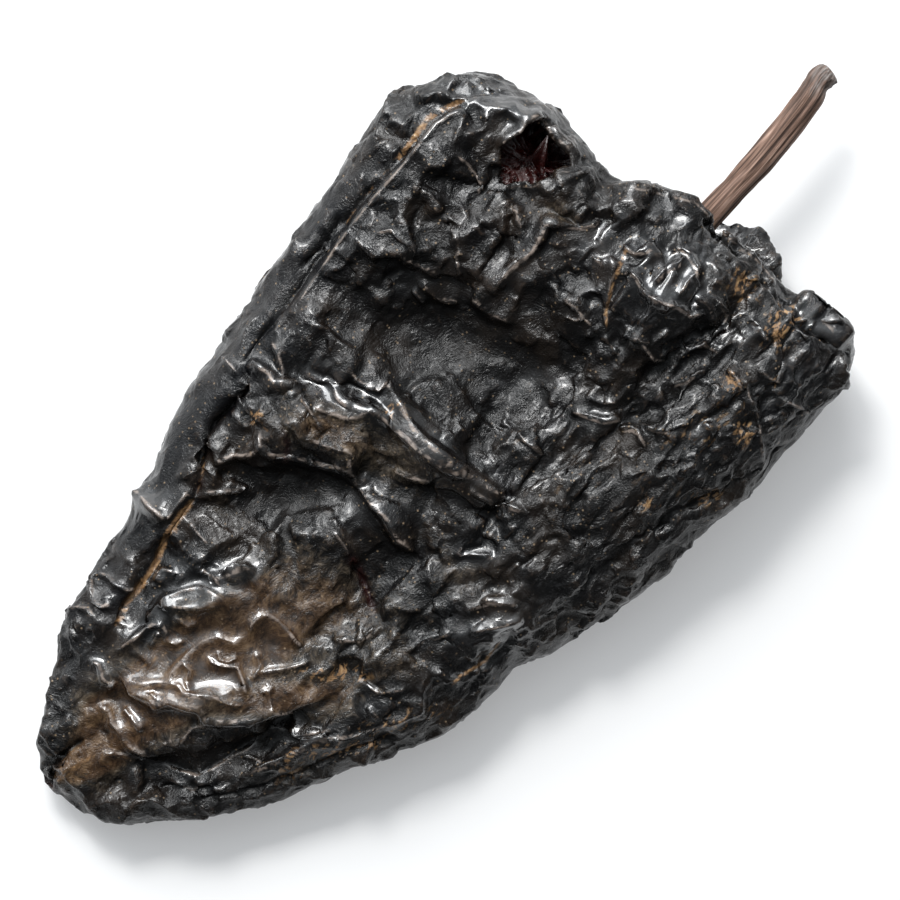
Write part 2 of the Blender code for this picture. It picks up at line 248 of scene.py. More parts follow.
# ================================================================ mesh helpers
def to_object(name, verts, faces):
    me = bpy.data.meshes.new(name)
    me.from_pydata(verts.tolist() if hasattr(verts, "tolist") else verts, [],
                   faces.tolist() if hasattr(faces, "tolist") else faces)
    ob = bpy.data.objects.new(name, me)
    bpy.context.scene.collection.objects.link(ob)
    return ob


def fast_mesh(name, verts, quads):
    """A mesh from arrays; quads is (n, 3) or (n, 4)."""
    me = bpy.data.meshes.new(name)
    n, k = quads.shape
    me.vertices.add(len(verts))
    me.vertices.foreach_set("co", verts.astype(np.float32).ravel())
    me.loops.add(n * k)
    me.loops.foreach_set("vertex_index", quads.astype(np.int32).ravel())
    me.polygons.add(n)
    me.polygons.foreach_set("loop_start", np.arange(0, n * k, k, dtype=np.int32))
    me.update(calc_edges=True)
    me.validate()
    return me


def final_mesh(name, verts, quads, tris, values):
    """A closed mesh of quads and triangles with smooth shading and named point values."""
    me = bpy.data.meshes.new(name)
    me.vertices.add(len(verts))
    me.vertices.foreach_set("co", verts.astype(np.float32).ravel())
    loops = np.concatenate([quads.ravel(), tris.ravel()]).astype(np.int32)
    me.loops.add(len(loops))
    me.loops.foreach_set("vertex_index", loops)
    start = np.concatenate([np.arange(len(quads)) * 4, 4 * len(quads) + np.arange(len(tris)) * 3]).astype(np.int32)
    me.polygons.add(len(start))
    me.polygons.foreach_set("loop_start", start)
    me.update(calc_edges=True)
    me.validate()
    for key, val in values.items():
        val = np.asarray(val, np.float32)
        at = me.attributes.new(key, 'FLOAT' if val.ndim == 1 else 'FLOAT_VECTOR', 'POINT')
        at.data.foreach_set("value" if val.ndim == 1 else "vector", val.ravel())
    me.shade_smooth()
    return me


def thinned(v, quads, tris, goal):
    """The same surface with fewer triangles: flat facets give up points, sharp crests keep them."""
    flat = v.copy()
    flat[:, 2] -= 0.6 * np.minimum(v[:, 2], 0.0075)
    me = final_mesh("tmp_thin", flat, quads, tris, {})
    ob = bpy.data.objects.new("tmp_thin", me)
    bpy.context.scene.collection.objects.link(ob)
    m = ob.modifiers.new("d", 'DECIMATE')
    m.decimate_type = 'COLLAPSE'
    m.ratio = goal / (2 * len(quads) + len(tris))
    m.use_collapse_triangulate = True
    v2, loops, count = evaluated(ob)
    drop(ob)
    assert (count == 3).all()
    v2[:, 2] = np.where(v2[:, 2] < 0.4 * 0.0075, v2[:, 2] / 0.4, v2[:, 2] + 0.6 * 0.0075)
    return v2, loops.reshape(-1, 3)


def arrays_of(me):
    v = np.empty(len(me.vertices) * 3, np.float32)
    me.vertices.foreach_get("co", v)
    loops = np.empty(len(me.loops), np.int32)
    me.loops.foreach_get("vertex_index", loops)
    count = np.empty(len(me.polygons), np.int32)
    me.polygons.foreach_get("loop_total", count)
    return v.reshape(-1, 3).astype(float), loops, count


def evaluated(ob):
    dg = bpy.context.evaluated_depsgraph_get()
    me = bpy.data.meshes.new_from_object(ob.evaluated_get(dg), depsgraph=dg)
    out = arrays_of(me)
    bpy.data.meshes.remove(me)
    return out


def drop(ob):
    me = ob.data
    bpy.data.objects.remove(ob, do_unlink=True)
    bpy.data.meshes.remove(me)


def remeshed(verts, faces, size):
    ob = to_object("tmp_remesh", verts, faces)
    import bmesh
    bm = bmesh.new()
    bm.from_mesh(ob.data)
    bmesh.ops.recalc_face_normals(bm, faces=bm.faces)
    if bm.calc_volume(signed=True) < 0:
        bmesh.ops.reverse_faces(bm, faces=bm.faces)
    bm.to_mesh(ob.data)
    bm.free()
    m = ob.modifiers.new("r", 'REMESH')
    m.mode, m.voxel_size, m.adaptivity = 'VOXEL', size, 0.0
    v, loops, count = evaluated(ob)
    drop(ob)
    assert (count == 4).all()
    return v, loops.reshape(-1, 4)


def subdivided(v, quads):
    me = fast_mesh("tmp_sub", v, quads)
    ob = bpy.data.objects.new("tmp_sub", me)
    bpy.context.scene.collection.objects.link(ob)
    m = ob.modifiers.new("s", 'SUBSURF')
    m.levels = m.render_levels = 1
    v2, loops, count = evaluated(ob)
    drop(ob)
    return v2, loops.reshape(-1, 4)


def pairs_of(quads):
    """Directed pairs along quad edges and across quad diagonals."""
    a, b, c, d = quads.T
    e = np.concatenate([np.stack(p, 1) for p in ((a, b), (b, c), (c, d), (d, a))])
    e = np.unique(np.sort(e, 1), axis=0)
    g = np.concatenate([np.stack(p, 1) for p in ((a, c), (b, d))])
    g = np.unique(np.sort(g, 1), axis=0)
    return np.concatenate([e, e[:, ::-1]]), np.concatenate([g, g[:, ::-1]])


def padded(pairs, n, k=None):
    """Neighbour table (n, k) and its mask from directed pairs."""
    order = np.argsort(pairs[:, 0], kind="stable")
    p = pairs[order]
    count = np.bincount(p[:, 0], minlength=n)
    start = np.concatenate([[0], np.cumsum(count)[:-1]])
    slot = np.arange(len(p)) - start[p[:, 0]]
    k = k or int(count.max())
    keep = slot < k
    nb = np.repeat(np.arange(n)[:, None], k, 1)
    nb[p[keep, 0], slot[keep]] = p[keep, 1]
    mask = np.zeros((n, k), np.float32)
    mask[p[keep, 0], slot[keep]] = 1
    return nb, mask


def normals_of(v, quads):
    a, b, c, d = (v[quads[:, i]] for i in range(4))
    f = np.cross(c - a, d - b)
    n = np.zeros_like(v)
    for i in range(4):
        for ax in range(3):
            n[:, ax] += np.bincount(quads[:, i], f[:, ax], len(v))
    return n / np.maximum(np.linalg.norm(n, axis=1, keepdims=True), 1e-12)


def smooth(x, nb, mask, rounds, rate=0.5):
    w = (mask / np.maximum(mask.sum(1, keepdims=True), 1)).astype(np.float32)
    for _ in range(rounds):
        if x.ndim == 1:
            x = x + rate * ((x[nb] * w).sum(1) - x)
        else:
            x = x + rate * ((x[nb] * w[..., None]).sum(1) - x)
    return x


def hashed(i, j, k, seed):
    h = (i.astype(np.uint32) * np.uint32(374761393) + j.astype(np.uint32) * np.uint32(668265263)
         + k.astype(np.uint32) * np.uint32(2147483647) + np.uint32(seed * 974634777 % 4294967296))
    h = (h ^ (h >> np.uint32(13))) * np.uint32(1274126177)
    h = (h ^ (h >> np.uint32(16))) * np.uint32(2246822519)
    return ((h ^ (h >> np.uint32(15))) & np.uint32(0xFFFFFF)).astype(np.float32) / float(0xFFFFFF)


def noise(p, size, seed=0):
    """Smooth value noise from -1 to 1; size is the cell in metres, one number or three."""
    q = p / np.asarray(size) + 1000.0
    i = np.floor(q).astype(np.int64)
    f = (q - i).astype(np.float32)
    f = f * f * f * (f * (f * 6 - 15) + 10)
    out = 0
    for dx in (0, 1):
        for dy in (0, 1):
            for dz in (0, 1):
                w = ((f[..., 0] if dx else 1 - f[..., 0]) * (f[..., 1] if dy else 1 - f[..., 1])
                     * (f[..., 2] if dz else 1 - f[..., 2]))
                out = out + w * hashed(i[..., 0] + dx, i[..., 1] + dy, i[..., 2] + dz, seed)
    return out * 2 - 1


def perlin(p, size, seed=0):
    """Gradient noise, about -1 to 1; size is the cell in metres, one number or three."""
    q = p / np.asarray(size) + 1000.0
    i = np.floor(q).astype(np.int64)
    f = (q - i).astype(np.float32)
    w = f * f * f * (f * (f * 6 - 15) + 10)
    out = 0
    for dx in (0, 1):
        for dy in (0, 1):
            for dz in (0, 1):
                c = (i[..., 0] + dx, i[..., 1] + dy, i[..., 2] + dz)
                dot = 0
                for ax, o in enumerate((dx, dy, dz)):
                    dot = dot + (hashed(*c, seed * 3 + ax) * 2 - 1) * (f[..., ax] - o)
                k = ((w[..., 0] if dx else 1 - w[..., 0]) * (w[..., 1] if dy else 1 - w[..., 1])
                     * (w[..., 2] if dz else 1 - w[..., 2]))
                out = out + k * dot
    return out * 1.9


def ridged(p, size, seed, warp=0.5):
    """1 along thin crest lines, falling to 0 in the broad hollows between them."""
    size = np.asarray(size, float) * np.ones(3)
    q = p + size * warp * np.stack([perlin(p, size * 1.4, seed + 41 + k) for k in range(3)], -1)
    return 1 - np.clip(np.abs(perlin(q, size, seed)) * 1.5, 0, 1) ** 0.85


def bowls(p, size, seed, tilt=0.95, warp=0.30):
    """Hollow cells with sharp rims. Each cell is tilted its own way, so that rims stand over their neighbours."""
    size = np.asarray(size, float) * np.ones(3)
    p = p + size * warp * np.stack([perlin(p, size * 1.1, seed + 51 + k) for k in range(3)], -1)
    q = p / size + 500.0
    i = np.floor(q).astype(np.int64)
    f = (q - i).astype(np.float32)
    best = np.full(len(p), 9.0, np.float32)
    val = np.zeros(len(p), np.float32)
    for dx in (-1, 0, 1):
        for dy in (-1, 0, 1):
            for dz in (-1, 0, 1):
                c = (i[:, 0] + dx, i[:, 1] + dy, i[:, 2] + dz)
                r = [dx + hashed(*c, seed + 0) - f[:, 0], dy + hashed(*c, seed + 1) - f[:, 1],
                     dz + hashed(*c, seed + 2) - f[:, 2]]
                d = r[0] ** 2 + r[1] ** 2 + r[2] ** 2
                w = np.where(d < best)[0]
                if len(w) == 0:
                    continue
                cw = tuple(x[w] for x in c)
                lean = sum((hashed(*cw, seed + 3 + k) - 0.5) * r[k][w] for k in range(3))
                best[w] = d[w]
                val[w] = 0.55 * d[w] + tilt * lean + 0.20 * (hashed(*cw, seed + 6) - 0.5)
    return val - 0.14


def in_parts(f, p, *rest):
    """f(p, ...) worked out in eight parts at a time."""
    return np.concatenate(list(POOL.map(lambda part: f(part, *rest), np.array_split(p, 8))))


def step(a, b, x):
    t = np.clip((x - a) / (b - a), 0, 1)
    return t * t * (3 - 2 * t)


def polyline(q, pts):
    """Distance, side (positive to the right of travel) and fraction along the polyline."""
    p = np.asarray(pts, float)
    seg = np.diff(p, axis=0)
    ln = np.linalg.norm(seg, axis=1)
    start = np.concatenate([[0], np.cumsum(ln)[:-1]])
    best = np.full(len(q), 1e9)
    side = np.zeros(len(q))
    along = np.zeros(len(q))
    for k in range(len(seg)):
        r = q - p[k]
        t = np.clip((r @ seg[k]) / ln[k] ** 2, 0, 1)
        d = np.linalg.norm(r - t[:, None] * seg[k], axis=1)
        better = d < best
        best = np.where(better, d, best)
        side = np.where(better, seg[k, 0] * r[:, 1] - seg[k, 1] * r[:, 0], side)
        along = np.where(better, start[k] + t * ln[k], along)
    return best, side, along / ln.sum()


def sharpened(v, quads, nb, mask, rounds, crest, hollow):
    """Raises what stands above the smoothed skin and flattens what hangs below it."""
    n = smooth(normals_of(v, quads), nb, mask, 2)
    n /= np.linalg.norm(n, axis=1, keepdims=True)
    d = ((v - smooth(v, nb, mask, rounds)) * n).sum(1)
    return v + n * (crest * np.maximum(d, 0) + hollow * np.minimum(d, 0))[:, None]


def faceted(v, quads, spread_deg, rounds, moves, share):
    """Gathers the skin's bends into thin creases with flatter facets between them."""
    m, n = len(quads), len(v)
    a = quads[:, [0, 1, 2, 3]].ravel()
    b = quads[:, [1, 2, 3, 0]].ravel()
    key = np.minimum(a, b).astype(np.int64) * n + np.maximum(a, b)
    face = np.repeat(np.arange(m), 4)
    order = np.argsort(key, kind="stable")
    k, f = key[order], face[order]
    same = k[:-1] == k[1:]
    first, second = f[:-1][same], f[1:][same]
    near, nmask = padded(np.concatenate([np.stack([first, second], 1), np.stack([second, first], 1)]), m, 4)
    around, amask = padded(np.stack([quads.ravel(), face], 1), n, 6)
    around = np.minimum(around, m - 1)
    amask = amask / np.maximum(amask.sum(1, keepdims=True), 1)

    def face_normals(p):
        f = np.cross(p[quads[:, 2]] - p[quads[:, 0]], p[quads[:, 3]] - p[quads[:, 1]])
        return (f / np.maximum(np.linalg.norm(f, axis=1, keepdims=True), 1e-15)).astype(np.float32)

    fn = face_normals(v)
    cuts = np.linspace(0, m, 9).astype(int)
    limit = np.float32(1 - math.cos(math.radians(spread_deg)))
    for _ in range(rounds):
        new = np.empty_like(fn)

        def part(i):
            s0, s1 = cuts[i], cuts[i + 1]
            other = fn[near[s0:s1]]
            own = fn[s0:s1]
            gap = 1 - np.einsum("ijk,ik->ij", other, own)
            w = np.exp(-np.clip(gap, 0, 2) / limit) * nmask[s0:s1] * np.float32(0.24)
            d = own + np.einsum("ij,ijk->ik", w, other - own[:, None])
            new[s0:s1] = d / np.maximum(np.linalg.norm(d, axis=1, keepdims=True), 1e-9)

        list(POOL.map(part, range(8)))
        fn = new
    x = v.copy()
    vcuts = np.linspace(0, n, 9).astype(int)
    for _ in range(moves):
        c = x[quads].mean(1)
        new_x = x.copy()

        def move(i):
            s0, s1 = vcuts[i], vcuts[i + 1]
            t = around[s0:s1]
            nn = fn[t]
            d = np.einsum("ijk,ijk->ij", c[t] - x[s0:s1, None], nn) * amask[s0:s1]
            new_x[s0:s1] += np.einsum("ij,ijk->ik", d, nn)

        list(POOL.map(move, range(8)))
        x = new_x
    return v + (x - v) * share


# ================================================================ crumpling
def crumple(v, quads, spacing, growth, rounds, bend, hold, floor, seed, crest=0.3, press=0.0, damp=0.92,
            limit=0.08):
    """Shrinks the flesh under the skin, so that the skin has length to spare and buckles.

    growth(v, normals) gives (along, across, direction) for every point: the spare length along
    and across the direction. The flesh draws the skin in, so it hangs hollow between crests
    that stand no more than crest (in spacings) above the plain shape.
    """
    n = len(v)
    edge, diag = pairs_of(quads)
    nb_e, m_e = padded(edge, n, 6)
    nb_d, m_d = padded(diag, n, 6)
    nb = np.concatenate([nb_e, nb_d], 1)
    mask = np.concatenate([m_e, 0.5 * m_d], 1)
    normal = normals_of(v, quads)
    normal = smooth(normal, nb_e, m_e, 3)
    normal /= np.linalg.norm(normal, axis=1, keepdims=True)
    along, across, way = growth(v, normal)
    d = v[nb] - v[:, None]
    rest = np.linalg.norm(d, axis=2)
    t = d / np.maximum(rest, 1e-9)[..., None]
    c2 = ((t * way[:, None]).sum(2)) ** 2
    g = 0.5 * (along[:, None] + along[nb]) * c2 + 0.5 * (across[:, None] + across[nb]) * (1 - c2)
    rest = (rest * (1 + g)).astype(np.float32) / spacing
    base = (v / spacing).astype(np.float32)
    nrm = normal.astype(np.float32)
    rng = np.random.default_rng(seed)
    x = base + nrm * (0.10 * rng.standard_normal(n).astype(np.float32))[:, None]
    x = x.astype(np.float32)
    vel = np.zeros_like(x)
    w = (0.11 * mask).astype(np.float32)
    wl = (m_e / np.maximum(m_e.sum(1, keepdims=True), 1)).astype(np.float32)
    h = np.zeros(n, np.float32)
    lap = np.zeros(n, np.float32)
    force = np.zeros_like(x)
    cuts = np.linspace(0, n, 9).astype(int)
    lift = np.float32(crest)

    def part_h(k):
        a, b = cuts[k], cuts[k + 1]
        h[a:b] = ((x[a:b] - base[a:b]) * nrm[a:b]).sum(1)

    def part_lap(k):
        a, b = cuts[k], cuts[k + 1]
        lap[a:b] = (h[nb_e[a:b]] * wl[a:b]).sum(1) - h[a:b]

    def part_force(k):
        a, b = cuts[k], cuts[k + 1]
        xa = x[a:b]
        dd = x[nb[a:b]] - xa[:, None]
        ln = np.sqrt(np.einsum("ijk,ijk->ij", dd, dd)) + np.float32(1e-6)
        s = w[a:b] * (1 - rest[a:b] / ln)
        f = np.einsum("ij,ijk->ik", s, dd)
        bil = (lap[nb_e[a:b]] * wl[a:b]).sum(1) - lap[a:b]
        q = xa - base[a:b]
        ha = h[a:b]
        pull = -bend * bil - hold * ha - np.float32(limit) * np.maximum(ha - lift, 0) - press
        f += nrm[a:b] * pull[:, None]
        f -= np.float32(hold * 0.5) * (q - nrm[a:b] * ha[:, None])
        force[a:b] = f

    for it in range(rounds):
        list(POOL.map(part_h, range(8)))
        list(POOL.map(part_lap, range(8)))
        list(POOL.map(part_force, range(8)))
        vel += force
        vel *= np.float32(damp if it < rounds * 0.8 else damp * 0.8)
        np.clip(vel, -0.12, 0.12, out=vel)
        x += vel
        low = x[:, 2] < floor / spacing
        if low.any():
            x[low, 2] = floor / spacing
            vel[low, 2] = 0
    return x.astype(float) * spacing, nb_e, m_e


def fan(v):
    """Direction of the pod's length at each point, fanning out from behind the tip."""
    w = v - np.array([-0.190, -0.004, 0.0])
    w[:, 2] = 0
    return w / np.linalg.norm(w, axis=1, keepdims=True)


def top_share(v, normal):
    mid = 0.48 * np.interp((v[:, 0] / UNIT + ORIGIN_X - 115) / 850, THICK_AT, THICK)
    return step(-0.001, 0.0025, v[:, 2] - mid) * step(-0.1, 0.35, normal[:, 2])


# Folds of the upper side: points on the drafting grid, height (mm), reach to the left and to the
# right of the line of travel (grid units). Negative heights are creases.
FOLDS = [
    # the long ridge across the middle: a flat strip between two edges
    ([(369, 401), (371, 412), (386, 421), (400, 433), (420, 452), (444, 468), (468, 480)], 1.3, 9, 4),
    ([(393, 394), (403, 408), (410, 423), (424, 441), (446, 459), (470, 476), (492, 490), (510, 500)], 1.5, 5, 10),
    ([(466, 487), (493, 502), (529, 514)], 0.9, 5, 5),
    ([(350, 372), (362, 383), (380, 391), (386, 383), (393, 394)], 0.9, 5, 4),
    # flaps between the crease and the ridge
    ([(253, 357), (255, 364), (264, 370), (272, 375), (275, 383), (286, 385), (300, 385)], 1.3, 4, 9),
    ([(273, 341), (280, 354), (283, 367), (286, 382)], 0.9, 5, 4),
    ([(305, 372), (318, 380), (330, 383), (336, 391), (339, 401), (347, 406), (355, 410)], 1.2, 9, 4),
    ([(314, 406), (322, 411), (332, 414), (347, 419), (359, 418), (369, 412)], 1.1, 9, 4),
    ([(300, 396), (308, 406), (317, 420), (325, 430)], 0.9, 4, 4),
    ([(284, 423), (298, 424), (303, 435), (317, 442), (334, 447), (349, 451), (356, 458)], 1.3, 10, 4),
    ([(261, 428), (262, 445), (273, 455), (293, 456), (317, 463), (340, 468), (353, 475)], 1.7, 14, 4),
    ([(214, 464), (234, 455), (251, 455), (261, 450)], 1.3, 10, 4),
    ([(224, 357), (234, 367), (240, 375)], 0.9, 4, 4),
    ([(228, 408), (239, 418), (245, 425), (256, 424)], 0.7, 5, 4),
    ([(347, 452), (353, 475), (366, 494), (374, 506), (386, 516), (398, 538), (413, 550)], 1.5, 11, 4),
    ([(394, 470), (415, 479), (432, 481)], 1.0, 8, 4),
    ([(335, 531), (345, 545), (350, 555)], 0.8, 6, 6),
    ([(204, 492), (225, 491), (248, 487)], 0.9, 5, 5),
    ([(190, 521), (200, 533), (211, 545)], 0.7, 5, 5),
    ([(456, 553), (475, 556), (495, 557)], 0.8, 6, 5),
    ([(335, 640), (360, 640), (380, 628)], 0.9, 6, 5),
    ([(212, 580), (235, 572), (255, 568)], 0.8, 6, 6),
    # the long shelf of the lower left and the creases beneath it
    ([(110, 748), (150, 762), (200, 772), (230, 755), (268, 735), (300, 712), (330, 700)], -1.7, 6, 6),
    ([(150, 783), (190, 788), (225, 785), (260, 765)], -1.2, 5, 5),
    ([(200, 800), (250, 792), (300, 776), (350, 752), (400, 735)], -0.9, 5, 5),
    ([(230, 780), (270, 765), (320, 742), (370, 730), (420, 712)], 0.9, 5, 5),
    ([(45, 795), (50, 768), (72, 745), (85, 738)], -1.4, 4, 4),
    ([(355, 560), (359, 570), (370, 592), (375, 609)], -1.2, 4, 4),
    ([(285, 725), (305, 740)], 0.6, 4, 4),
    ([(370, 705), (380, 718)], 0.6, 4, 4),
    ([(362, 680), (380, 692), (410, 687)], 0.7, 4, 4),
    ([(400, 655), (425, 640), (455, 632)], 0.7, 5, 5),
    ([(465, 610), (490, 602), (520, 605)], 0.9, 6, 5),
    ([(470, 632), (500, 625), (525, 618)], 0.8, 5, 5),
    ([(252, 632), (254, 621), (262, 614), (270, 613), (280, 620), (290, 630), (297, 640), (306, 647)], 1.3, 4, 9),
    ([(127, 677), (140, 681), (160, 680), (172, 680), (174, 671), (181, 663), (192, 651), (205, 640), (220, 634),
      (236, 640), (251, 632)], 1.2, 4, 12),
    ([(127, 678), (136, 690), (150, 697), (160, 703), (173, 700), (187, 704), (201, 706), (209, 719), (230, 720),
      (250, 718), (270, 713), (290, 712), (303, 705), (320, 700), (332, 694)], 1.9, 12, 3),
    ([(220, 649), (223, 658), (231, 660), (241, 655)], 0.6, 3, 3),
    ([(210, 655), (216, 662), (228, 665), (240, 666), (245, 680), (249, 694)], 0.9, 4, 4),
    ([(174, 681), (183, 685), (189, 694), (202, 696), (216, 695), (235, 701), (247, 703)], 0.9, 4, 5),
    ([(186, 661), (193, 669), (190, 680), (194, 690)], 0.7, 4, 3),
    ([(150, 690), (163, 699)], 0.5, 3, 3),
    ([(98, 704), (110, 711), (114, 722), (125, 733), (131, 745), (141, 751), (153, 755)], 1.2, 6, 4),
    ([(127, 706), (135, 716), (145, 729)], 0.9, 4, 4),
    ([(156, 748), (170, 740), (182, 742), (193, 726), (208, 723)], 0.8, 5, 4),
    ([(276, 684), (270, 690), (274, 712)], 0.6, 4, 4),
    ([(292, 724), (300, 734), (315, 732), (338, 727)], 0.8, 4, 4),
    ([(302, 741), (318, 739), (345, 733)], 0.8, 3, 4),
    ([(290, 726), (268, 733), (250, 748), (231, 756), (212, 768), (196, 775), (176, 769), (150, 761), (126, 754),
      (104, 752)], 1.1, 4, 5),
    ([(244, 755), (255, 758), (263, 763)], 0.7, 3, 3),
    ([(168, 780), (182, 786), (193, 790), (206, 783), (222, 788), (240, 776), (258, 768)], 0.8, 4, 4),
    ([(91, 577), (93, 590), (97, 601), (104, 606), (112, 601)], 1.0, 4, 4),
    ([(97, 573), (108, 575), (117, 583), (128, 589), (138, 589)], 0.9, 4, 4),
    ([(64, 613), (78, 606), (90, 608), (97, 620)], 0.8, 4, 4),
    ([(70, 623), (74, 633), (77, 640)], 0.6, 3, 3),
    ([(118, 650), (130, 642), (146, 630), (156, 622), (163, 622), (167, 630), (169, 638), (178, 642), (187, 639)], 1.0, 5, 4),
    ([(152, 646), (157, 637), (162, 629)], 0.7, 3, 3),
    ([(160, 603), (172, 596), (185, 590), (200, 587), (214, 592), (226, 599)], 1.0, 4, 8),
    ([(161, 605), (180, 606), (200, 607), (212, 605), (223, 602)], 0.9, 8, 3),
    ([(176, 614), (190, 624), (200, 620)], 0.6, 4, 4),
    ([(199, 566), (208, 572), (216, 577), (223, 586)], 0.8, 4, 5),
    ([(226, 577), (238, 567), (248, 567), (258, 573)], 0.9, 4, 6),
    ([(156, 580), (164, 569), (178, 572)], 0.8, 4, 5),
    ([(92, 660), (100, 664), (104, 678), (111, 684), (118, 679)], 0.9, 4, 4),
    ([(255, 680), (262, 665), (258, 650)], 0.7, 4, 4),
    ([(262, 672), (280, 669), (300, 664), (314, 660)], 0.8, 4, 4),
    # right-hand glossy patch and what lies around it
    ([(619, 279), (624, 276), (631, 280), (636, 290), (643, 298), (652, 304), (661, 308), (670, 308)], 1.5, 4, 6),
    ([(650, 288), (660, 278), (672, 272), (681, 264)], 0.9, 4, 5),
    ([(666, 259), (676, 253), (683, 259), (690, 270), (694, 283)], 1.1, 4, 6),
    ([(672, 301), (680, 290), (691, 280)], 0.9, 4, 4),
    ([(660, 308), (674, 312), (686, 320), (698, 317)], 1.0, 5, 4),
    ([(620, 250), (631, 259), (644, 256), (651, 245)], 1.1, 4, 5),
    ([(590, 262), (600, 268), (612, 266)], 0.8, 4, 4),
    ([(613, 268), (607, 290), (604, 310), (604, 330)], 0.8, 3, 4),
    ([(603, 337), (610, 350), (617, 358)], 0.8, 3, 4),
    ([(637, 345), (643, 352), (651, 362), (666, 362)], 0.9, 5, 4),
    ([(622, 338), (634, 342), (647, 345)], 0.7, 4, 3),
    ([(619, 431), (630, 431), (637, 436), (643, 448)], 1.1, 4, 4),
    ([(562, 318), (572, 323), (583, 321)], 0.8, 5, 4),
    ([(584, 336), (593, 338)], 0.6, 4, 4),
    ([(668, 388), (682, 385), (692, 377)], 0.8, 5, 4),
    ([(655, 358), (668, 352), (680, 350)], 0.6, 4, 4),
    ([(698, 347), (706, 350), (714, 355)], 0.7, 4, 4),
    ([(570, 412), (590, 420), (606, 424), (620, 420)], 0.9, 6, 4),
    ([(586, 398), (600, 405), (616, 403)], 0.7, 5, 4),
    ([(630, 394), (638, 396), (645, 400)], 0.6, 4, 4),
    ([(640, 428), (655, 433), (666, 433)], 0.7, 5, 4),
    ([(700, 426), (706, 430), (712, 436)], 0.7, 4, 4),
    ([(724, 372), (732, 380), (738, 394)], 0.8, 4, 4),
    ([(741, 380), (745, 400), (755, 421), (757, 445), (762, 472)], 0.7, 4, 4),
    ([(775, 403), (786, 404), (798, 410), (810, 415)], 0.8, 4, 4),
    ([(755, 372), (765, 380), (778, 385)], 0.7, 4, 4),
    ([(708, 300), (716, 310), (724, 318), (716, 332)], 0.9, 4, 4),
    ([(745, 322), (755, 332), (762, 345)], 0.8, 4, 4),
    ([(795, 305), (812, 316), (830, 328), (850, 349)], 1.3, 4, 6),
    # the deep crease and the left band
    ([(243, 366), (248, 381), (239, 396), (222, 416), (210, 428), (204, 445), (203, 470)], -2.3, 5, 5),
    ([(465, 104), (446, 112), (428, 123), (416, 140), (403, 157), (385, 173), (366, 194), (350, 213), (333, 236), (300, 285), (280, 312), (258, 340), (243, 366)], -1.0, 4, 5),
    ([(470, 112), (450, 120), (434, 130), (422, 146), (408, 164), (392, 182), (374, 202), (342, 242), (308, 292), (288, 318)], 0.8, 4, 8),
    ([(340, 215), (320, 243), (300, 270)], -1.1, 5, 5),
    ([(205, 468), (195, 500), (178, 520), (168, 535), (158, 560), (143, 583), (128, 603), (117, 625)], -1.1, 5, 5),
    ([(131, 487), (150, 505), (168, 520)], 1.3, 5, 8),
    ([(168, 520), (183, 500), (190, 490)], 1.1, 5, 5),
    # upper half
    ([(376, 237), (392, 234), (418, 258)], 0.9, 5, 6),
    ([(402, 261), (420, 268), (438, 278)], 1.0, 8, 4),
    ([(460, 253), (456, 260), (460, 278)], 0.9, 5, 5),
    ([(412, 290), (425, 303)], 0.8, 4, 4),
    ([(418, 284), (440, 300), (460, 304)], 0.8, 7, 4),
    ([(560, 228), (545, 229), (538, 243), (530, 257), (515, 268), (500, 283), (488, 297)], 1.4, 4, 10),
    ([(548, 228), (580, 233), (600, 226)], 0.9, 4, 4),
    ([(470, 300), (490, 315), (512, 325)], 1.0, 9, 4),
    ([(496, 152), (520, 137), (526, 126), (533, 122), (541, 123), (548, 133), (553, 143), (574, 158)], 1.5, 9, 4),
    ([(574, 176), (554, 177), (548, 184), (532, 191), (515, 189), (503, 194)], 0.6, 8, 4),
    ([(455, 160), (470, 170), (480, 186), (478, 200)], 0.9, 5, 5),
    ([(412, 190), (430, 200), (440, 218)], 0.8, 5, 5),
    ([(500, 205), (515, 215), (520, 235)], 0.8, 5, 5),
    ([(610, 190), (650, 195), (695, 208), (720, 236), (760, 268), (785, 300)], 0.8, 6, 6),
    ([(700, 222), (720, 243), (742, 262)], -1.4, 4, 4),
    ([(735, 236), (757, 258), (780, 283)], -1.4, 4, 4),
    ([(790, 305), (815, 318), (845, 348)], 1.1, 5, 5),
    ([(790, 322), (806, 331), (836, 350), (850, 360)], -1.8, 4, 4),
    ([(705, 325), (672, 355), (640, 385)], -1.1, 9, 9),
    ([(735, 345), (700, 385), (660, 410), (620, 425)], -1.1, 9, 9),
    ([(517, 436), (530, 446), (543, 456)], 0.9, 5, 5),
    ([(690, 300), (705, 310), (712, 330)], 0.8, 5, 5),
    ([(560, 300), (575, 312), (590, 330)], 0.8, 5, 5),
]


def add_folds(v, normal, share_wide, share_narrow):
    """Moves the upper skin by the folds; each share is the part of the full height to give."""
    q = grid_of(v)
    share = top_share(v, normal)
    up = np.zeros(len(v))
    for pts, h, wl, wr in FOLDS:
        h = h * (share_wide if max(wl, wr) >= 8 else share_narrow)
        if h == 0:
            continue
        p = np.asarray(pts, float)
        far = 4 * max(wl, wr)
        near = np.where((share > 0) & (q[:, 0] > p[:, 0].min() - far) & (q[:, 0] < p[:, 0].max() + far)
                        & (q[:, 1] > p[:, 1].min() - far) & (q[:, 1] < p[:, 1].max() + far))[0]
        if len(near) == 0:
            continue
        d, side, t = polyline(q[near], pts)
        w = np.where(side > 0, wr, wl)
        taper = np.clip(np.minimum(t, 1 - t) * 7 + 0.25, 0, 1)
        up[near] += h * 0.001 * taper * np.exp(-(d / w) ** 1.05)
    return v + normal * (up * share)[:, None]


